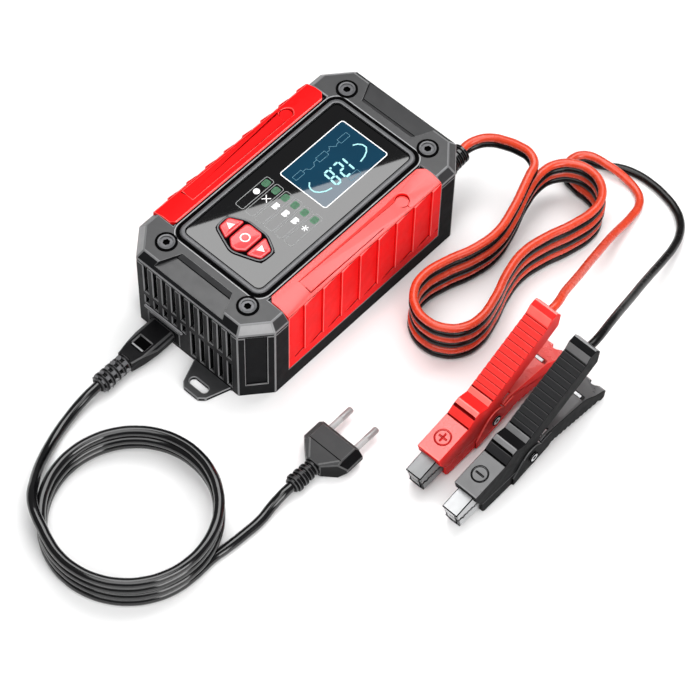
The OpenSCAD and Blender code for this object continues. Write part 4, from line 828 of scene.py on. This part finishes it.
SIGN_Y = -14.6
HALF_BATTERY = [(-1.6, -2.2), (1.2, -2.2), (1.2, -1.6), (1.8, -1.6), (1.8, -0.6), (1.2, -0.6)]


def signs():
    """Plain signs under the lamps: a disc, crossed bars, batteries and a snow star."""
    shapes = []
    lines = []
    y = SIGN_Y
    shapes.append(arc(LAMP_X[0], y, 2, 2, 0, 345, 20))
    lines.append([(LAMP_X[1] - 1.9, y - 1.9), (LAMP_X[1] + 1.9, y + 1.9)])
    lines.append([(LAMP_X[1] - 1.9, y + 1.9), (LAMP_X[1] + 1.9, y - 1.9)])
    for x in LAMP_X[2:5]:
        lower = [(x + u, y + v) for u, v in HALF_BATTERY]
        shapes.append(lower + [(x + u, y - v) for u, v in HALF_BATTERY[::-1]])
    for k in range(3):
        a = math.radians(60 * k)
        lines.append([(LAMP_X[5] - 2 * math.cos(a), y - 2 * math.sin(a)),
                      (LAMP_X[5] + 2 * math.cos(a), y + 2 * math.sin(a))])
    return shapes, lines


sign_shapes, sign_lines = signs()
fills("sign_shapes", sign_shapes, LENS_TOP, GLOWING_PRINT)
strokes("sign_lines", sign_lines, 0.55, LENS_TOP, GLOWING_PRINT)

# keypad: a dark field with a grey band round it, and three rounded buttons
KEYPAD = [(-18, -48), (-18.5, -38), (-10, -33.5), (-7, -32.5), (6, -32.5), (9, -33.5), (17.5, -38), (17, -48),
          (8, -51.5), (1, -54), (-2, -54), (-9, -51.5)]
UP_KEY = [(-16.6, -46.8), (-17, -38.9), (-9.4, -35), (-8.2, -35.6), (-8.2, -49.4), (-9.2, -50)]
DOWN_KEY = [(-1 - x, y) for x, y in UP_KEY[::-1]]
ENTER_KEY = [(-6.9, -48.6), (-6.9, -36), (-5, -34.1), (4, -34.1), (5.9, -36), (5.9, -48.6), (1.2, -52.4),
             (-2.2, -52.4)]
KEYPAD_TOP = LENS_TOP + 0.8
BUTTON_TOP = KEYPAD_TOP + 0.9
BUTTON_FOOT = 64.4
MARK_Z = BUTTON_TOP - 0.07


def turned_in(points, depth):
    """A closed outline moved inwards by depth."""
    centre = sum((Vector(p) for p in points), Vector((0, 0))) / len(points)
    moved = []
    for i, p in enumerate(points):
        a, b, c = Vector(points[i - 1]), Vector(p), Vector(points[(i + 1) % len(points)])
        n0 = Vector(((b - a).y, -(b - a).x)).normalized()
        n1 = Vector(((c - b).y, -(c - b).x)).normalized()
        n = (n0 + n1).normalized()
        n = n / max(0.4, n.dot(n0))
        if n.dot(b - centre) > 0:
            n = -n
        moved.append(b + n * depth)
    return [(p.x, p.y) for p in moved]


FILLET_STEPS = 4


def fillet(points, radius):
    """A closed outline with its corners rounded."""
    rounded = []
    for i, p in enumerate(points):
        a, b, c = Vector(points[i - 1]), Vector(p), Vector(points[(i + 1) % len(points)])
        reach = min(radius, 0.45 * (a - b).length, 0.45 * (c - b).length)
        p0, p1 = b + (a - b).normalized() * reach, b + (c - b).normalized() * reach
        for k in range(FILLET_STEPS + 1):
            t = k / FILLET_STEPS
            q = p0 * (1 - t) ** 2 + b * 2 * t * (1 - t) + p1 * t ** 2
            rounded.append((q.x, q.y))
    return rounded


def make_button(key, outline):
    """A moulded key: rounded outline, sloping rim and a gently hollow top."""
    centre = sum((Vector(p) for p in outline), Vector((0, 0))) / len(outline)
    levels = [(0, BUTTON_FOOT), (0, BUTTON_TOP - 0.75), (0.12, BUTTON_TOP - 0.35), (0.4, BUTTON_TOP - 0.08),
              (0.75, BUTTON_TOP), (1.5, BUTTON_TOP - 0.06)]
    verts = []
    for depth, z in levels:
        verts += [(x, y, z) for x, y in fillet(turned_in(outline, depth), 1.5 - 0.6 * depth)]
    n = len(verts) // len(levels)
    faces = ring_faces(len(levels), n)
    verts.append((centre.x, centre.y, BUTTON_TOP - 0.12))
    last = (len(levels) - 1) * n
    faces += [(last + i, last + (i + 1) % n, len(verts) - 1) for i in range(n)]
    faces.append(tuple(range(n)))
    mesh = mesh_of(key + "_button_skin", verts, faces, True)
    mesh.set_sharp_from_angle(angle=SOFT_ANGLE)
    add_piece(key + "_button_skin", mesh, BUTTON, key + "_key", [key + "_button"])
    # faces that look sideways take the darker red: painted shade on the key's sides
    mesh.materials.append(BUTTON_SIDE_SHADE)
    for polygon in mesh.polygons:
        if polygon.normal.z < 0.5:
            polygon.material_index = 1


for key, outline in (("up", UP_KEY), ("enter", ENTER_KEY), ("down", DOWN_KEY)):
    make_button(key, outline)
strokes("keypad_band", [fillet(turned_in(KEYPAD, 0.35), 3)], 0.8, KEYPAD_TOP, KEY_BAND, True)
# a dark line round the keypad: painted shade
strokes("keypad_shade_line", [fillet(turned_in(KEYPAD, -0.35), 3)], 0.5, LENS_TOP, SHADE, True)

# button marks, just above the hollow tops: two arrow heads and a ring
ARROW = [(2.5, 0), (-1.7, 2.3), (-1.7, -2.3)]
for key, centre, turn in (("up", (-12.5, -42.2), 180), ("down", (11.5, -42.2), 0)):
    a = math.radians(turn)
    shape = [(centre[0] + u * math.cos(a) - v * math.sin(a), centre[1] + u * math.sin(a) + v * math.cos(a))
             for u, v in ARROW]
    fills(key + "_mark", [shape], MARK_Z, GLOWING_PRINT, key + "_key")
strokes("enter_mark", [arc(-0.5, -42.6, 2.6, 2.6, 0, 352, 40)], 0.8, MARK_Z, GLOWING_PRINT, closed=True,
        body="enter_key")


# ------------------------ mains parts
CONNECTOR_TOP = 13
PIN_APART = 19
PLUG_FACE = -75
PIN_PROFILE = [(-12, 1.6), (0, 1.6), (0, 1.9), (10, 1.9), (10, 2), (18, 2), (18.7, 1.6), (19, 0.9)]
PLUG_HIGH = 14
PLUG_HIGH_Y = -87.5
PLUG_FALL = 1.8 / 10.5
PLUG_LIFT = 0.02
RELIEF_ENDS = (-122, -141)
RELIEF_BARS = 6
# a bar's corners: distance from the cord's axis and sideways
RELIEF_SECTION = ((4.2, -1.3), (5.6, -1.1), (5.6, 1.1), (4.2, 1.3))


def on_connector_top(centre, normal):
    return normal.z > 0.5 and centre.z > CONNECTOR_TOP - 1 and centre.y > -105 and abs(centre.x - INLET.x) < 9


def in_connector_pocket(centre, normal):
    return 10 < centre.z < CONNECTOR_TOP - 0.1 and -110.5 < centre.y < -103.5 and abs(centre.x - INLET.x) < 4.6


def plug_slope(x, y):
    """Height of a mark on the plug's top, which falls away towards the cord."""
    return PLUG_HIGH + (y - PLUG_HIGH_Y) * PLUG_FALL + PLUG_LIFT


# inlet, connector, plug and gland: rounded edges in painted highlight and inner corners lined with painted shade; the
# connector's and the plug's tops in a painted-sheen copy, and the inside of the connector's pocket in painted shade
softened("mains_inlet", CASE, 0.3, edge=CASE_EDGE_HIGHLIGHT, shade=SHADE)
softened("mains_connector", PLUG_BLACK, 0.8, edge=PLUG_EDGE_HIGHLIGHT, shade=SHADE,
         areas=[(on_connector_top, PLUG_TOP_SHEEN), (in_connector_pocket, SHADE)])
plug = softened("plug_body", PLUG_BLACK, 0.6, edge=PLUG_EDGE_HIGHLIGHT, shade=SHADE, least=0.97, top=PLUG_TOP_SHEEN)
softened("dc_gland", CORD_BLACK, 0.3, edge=PLUG_EDGE_HIGHLIGHT, shade=SHADE)
pin_feet = [Vector((PLUG_END.x + s * PIN_APART / 2, PLUG_FACE, PLUG_END.z)) for s in (-1, 1)]
pins = lathe("plug_pins_skin", PIN_PROFILE, pin_feet, (0, 1, 0), PIN_SLEEVE, replaces=["plug_pins"],
             finishes=[PIN_SLEEVE] * 4 + [PIN_METAL] * 3)
# lighter lines along the plug panel's edges: painted highlight
panel_lines = [[(PLUG_END.x + s * 11, -88.4), (PLUG_END.x + s * 3.4, -97.2)] for s in (-1, 1)]
strokes("plug_panel_highlights", panel_lines, 1.0, plug_slope, PLUG_EDGE_HIGHLIGHT)
# a dark line at the step across the plug's top: painted shade
step_line = [(PLUG_END.x - 11.6, -88), (PLUG_END.x + 11.6, -88)]
strokes("plug_step_shade", [step_line], 0.5, plug_slope, SHADE)


def relief_bars():
    """Long bars across the ring grooves of the connector's strain relief, which leave a pattern of windows."""
    verts = []
    faces = []
    for k in range(RELIEF_BARS):
        a = math.radians(360 * k / RELIEF_BARS)
        out = Vector((math.cos(a), 0, math.sin(a)))
        side = Vector((-math.sin(a), 0, math.cos(a)))
        faces += prism_faces(len(verts))
        for y in RELIEF_ENDS:
            verts += [Vector((INLET.x, y, INLET.z)) + out * r + side * w for r, w in RELIEF_SECTION]
    add_piece("relief_bars", mesh_of("relief_bars", verts, faces), KEY_BAND)


relief_bars()
# a light line of painted highlight at the connector's ledge and a dark line of painted shade beside it
strokes("connector_ledge_highlight", [[(INLET.x - 4.2, -111), (INLET.x + 4.2, -111)]], 0.9, CONNECTOR_TOP, RIM_HIGHLIGHT)
strokes("connector_shade_line", [[(INLET.x - 4, -112.2), (INLET.x + 4, -112.2)]], 0.6, CONNECTOR_TOP, SHADE)


# ------------------------ clamps
# bands across an upper shell: from and to, as distances from the jaw tips, and the finish of what looks up; lit bands
# are painted highlight and shade bands painted shade
BANDS = [(9, 11, "lit"), (33.6, 34.6, "shade"), (38.6, 39.8, "shade"), (39.8, 43, "lit"), (43, 50.3, "plain"),
         (50.5, 53.3, "lit"), (53.3, 54.2, "shade"), (97.5, 100.4, "lit"), (100.4, 104.4, "plain"),
         (104.4, 105.6, "lit"), (54.2, 97.5, "rib"), (34.6, 38.6, "rib")]
PIVOT = (57, 15)
RIVET_FACE = 9.93
RIVET_SHADE_RING = [(0, 2.6), (0, 3.4), (0.06, 3.4), (0.06, 2.6), (0, 2.6)]
RIVET_DIMPLE_SHADE = [(0, 0.01), (0, 1.3), (0.06, 1.3), (0.06, 0.01)]
MARK_AT = 22
MARK_HEIGHT = 29.44
NOSE_RISE = 0.199
RING_R = 4.55
SIGN_HALF = 2.6
# the steel bar in the lever's slot: corners as distance from the jaw tips and sideways, then its heights
LEVER_BAR = ((100.9, -4.6), (102.7, -4.6), (102.7, 4.6), (100.9, 4.6))
LEVER_BAR_Z = (19, 19.7)


def nose_slope(tint):
    """Height of a mark on a clamp's sloping nose, as strokes asks for it."""
    return lambda x, y: MARK_HEIGHT + NOSE_RISE * (y - TIP[tint].y - MARK_AT)


def make_clamp(tint, finish, top, lit, shade, mark, steel):
    """One clamp: both shells and jaws, the pivot's rivets, the marks on its nose and the bar in its lever."""
    lever = tint + "_lever"
    along = clamp_point(tint, 1, 0) - clamp_point(tint, 0, 0)

    def over(a0, a1):
        return lambda centre, normal: normal.z > 0.3 and a0 < (centre - TIP[tint]).dot(along) < a1

    finishes = {"lit": lit, "shade": shade, "plain": finish, "rib": RIBS[tint]}
    cuts = [(clamp_point(tint, a, 0), along) for band in BANDS for a in band[:2]]
    areas = [(over(a0, a1), finishes[kind]) for a0, a1, kind in BANDS]
    # shells: up-facing faces in the painted-sheen copy, bands of painted highlight and painted shade across the upper
    # one, inner corners lined with painted shade; jaws and pivot pin with painted shade on their rounded edges
    made = [
        softened(tint + "_upper_shell", finish, 0.7, top=top, shade=shade, cuts=cuts, areas=areas),
        softened(tint + "_upper_jaw", steel, 0.55, 2, edge=SHADE),
        softened(tint + "_pivot_pin", RIVET, 0.5, edge=SHADE),
        softened(tint + "_lower_shell", finish, 0.6, body=lever, top=top, shade=shade),
        softened(tint + "_lower_jaw", steel, 0.55, 2, body=lever, edge=SHADE),
    ]
    axis = clamp_point(tint, 0, 0, 1) - clamp_point(tint, 0, 0)
    # on each face of the pivot a thin dark ring and a dark centre disc: painted shade
    for side in (1, -1):
        place = clamp_point(tint, *PIVOT, side * RIVET_FACE)
        for name, profile in (("_rivet_ring_shade", RIVET_SHADE_RING), ("_rivet_dimple_shade", RIVET_DIMPLE_SHADE)):
            made.append(lathe(tint + name, profile, place, side * axis, SHADE))
    centre = clamp_point(tint, MARK_AT, 0)
    ring = [arc(centre.x, centre.y, RING_R, RING_R, 0, 352, 40)]
    sign = [[(centre.x - SIGN_HALF, centre.y), (centre.x + SIGN_HALF, centre.y)]]
    if tint == "red":
        sign.append([(centre.x, centre.y - SIGN_HALF), (centre.x, centre.y + SIGN_HALF)])
    # the ring and sign drawn over the moulded ones: in painted shade on the red clamp, in its own black on the black
    # clamp
    made.append(strokes(tint + "_ring_mark", ring, 0.5, nose_slope(tint), mark, True))
    made.append(strokes(tint + "_sign_mark", sign, 0.65, nose_slope(tint), mark))
    verts = [clamp_point(tint, a, z, x) for z in LEVER_BAR_Z for a, x in LEVER_BAR]
    lever_bar = mesh_of(tint + "_lever_bar", verts, prism_faces())
    made.append(add_piece(tint + "_lever_bar", lever_bar, JAW, lever))
    return made


clamps = {
    "red": make_clamp("red", CLAMP_RED, CLAMP_RED_TOP_SHEEN, CLAMP_RED_LIT, RED_SHADE, RED_MARK_SHADE, JAW_DULL),
    "black": make_clamp("black", CLAMP_BLACK, CLAMP_BLACK_TOP_SHEEN, CLAMP_BLACK_LIT, SHADE, CLAMP_BLACK, JAW),
}


# ------------------------ inner pieces keep their CAD shape
for node, finish in (("lcd_module", LCD), ("display_board", BOARD), ("display_screws", PLATED), ("status_leds", LAMP),
                     ("tact_switches", COMPONENT), ("main_board", BOARD), ("board_screws", PLATED),
                     ("transformer_core", FERRITE), ("transformer_winding", COPPER), ("capacitors", COMPONENT),
                     ("heatsinks", HEATSINK), ("power_transistors", COMPONENT), ("emi_choke", COPPER),
                     ("fuse", PLATED), ("inlet_pins", PLATED), ("fan_frame", COMPONENT), ("fan_rotor", COMPONENT),
                     ("fan_screws", SCREW), ("red_spring", JAW), ("black_spring", JAW)):
    dress(node, finish)


# ------------------------ floor and light
FLOOR_HALF = 6000
FLOOR_DROP = 0.02
WORLD_STRENGTH = 0.18
# name, place, aim, size and watts
LIGHTS = (("overhead", (500, -700, 1600), (60, -40, 0), (1500, 1300), 20),
          ("right_fill", (1500, -300, 700), (60, -20, 20), (900, 900), 16))
CARD_RADIANCE = 5
CARD_SIZE = (900, 1300)
CARD_EDGE = ((-643.7, 580.5, 1281.9), (-555.7, 770.5, 1281.9))


def make_floor():
    size = FLOOR_HALF
    mesh = mesh_of("floor", [(-size, -size, 0), (size, -size, 0), (size, size, 0), (-size, size, 0)], [(0, 1, 2, 3)])
    floor = bpy.data.objects.new("floor", mesh)
    bpy.context.scene.collection.objects.link(floor)
    mesh.materials.append(material("floor_white", (0.9, 0.9, 0.9), 0.7, mottle=0.01, mottle_size=200))
    floor.location.z = -FLOOR_DROP * MM


def area_light(name, place, aim, size, energy):
    """A rectangular light at place that looks at aim. Returns it."""
    data = bpy.data.lights.new(name, "AREA")
    data.shape = "RECTANGLE"
    data.size, data.size_y = size[0] * MM, size[1] * MM
    data.energy = energy
    light = bpy.data.objects.new(name, data)
    bpy.context.scene.collection.objects.link(light)
    look = (metres(aim) - metres(place)).to_track_quat("-Z", "Y").to_matrix().to_4x4()
    light.matrix_world = Matrix.Translation(metres(place)) @ look
    return light


def make_card():
    """The sheen card: its straight edge is what the lens mirrors as the border of its bright part."""
    edge_from, edge_to = (Vector(p) for p in CARD_EDGE)
    along = (edge_to - edge_from).normalized()
    lit = Vector((along.y, -along.x, 0))
    width, length = CARD_SIZE
    centre = (edge_from + edge_to) / 2 + lit * width / 2
    energy = CARD_RADIANCE * math.pi * width * length * MM * MM
    card = area_light("sheen_card", centre, centre - Vector((0, 0, 100)), (width, length), energy)
    card.matrix_world = Matrix.Translation(metres(centre)) @ Matrix.Rotation(math.atan2(lit.y, lit.x), 4, "Z")


def make_light():
    world = bpy.data.worlds.new("world")
    bpy.context.scene.world = world
    world.use_nodes = True
    world.node_tree.nodes["Background"].inputs["Color"].default_value = (1, 1, 1, 1)
    world.node_tree.nodes["Background"].inputs["Strength"].default_value = WORLD_STRENGTH
    for light in LIGHTS:
        area_light(*light)
    make_card()


make_floor()
make_light()
bpy.context.scene.view_settings.view_transform = "Standard"
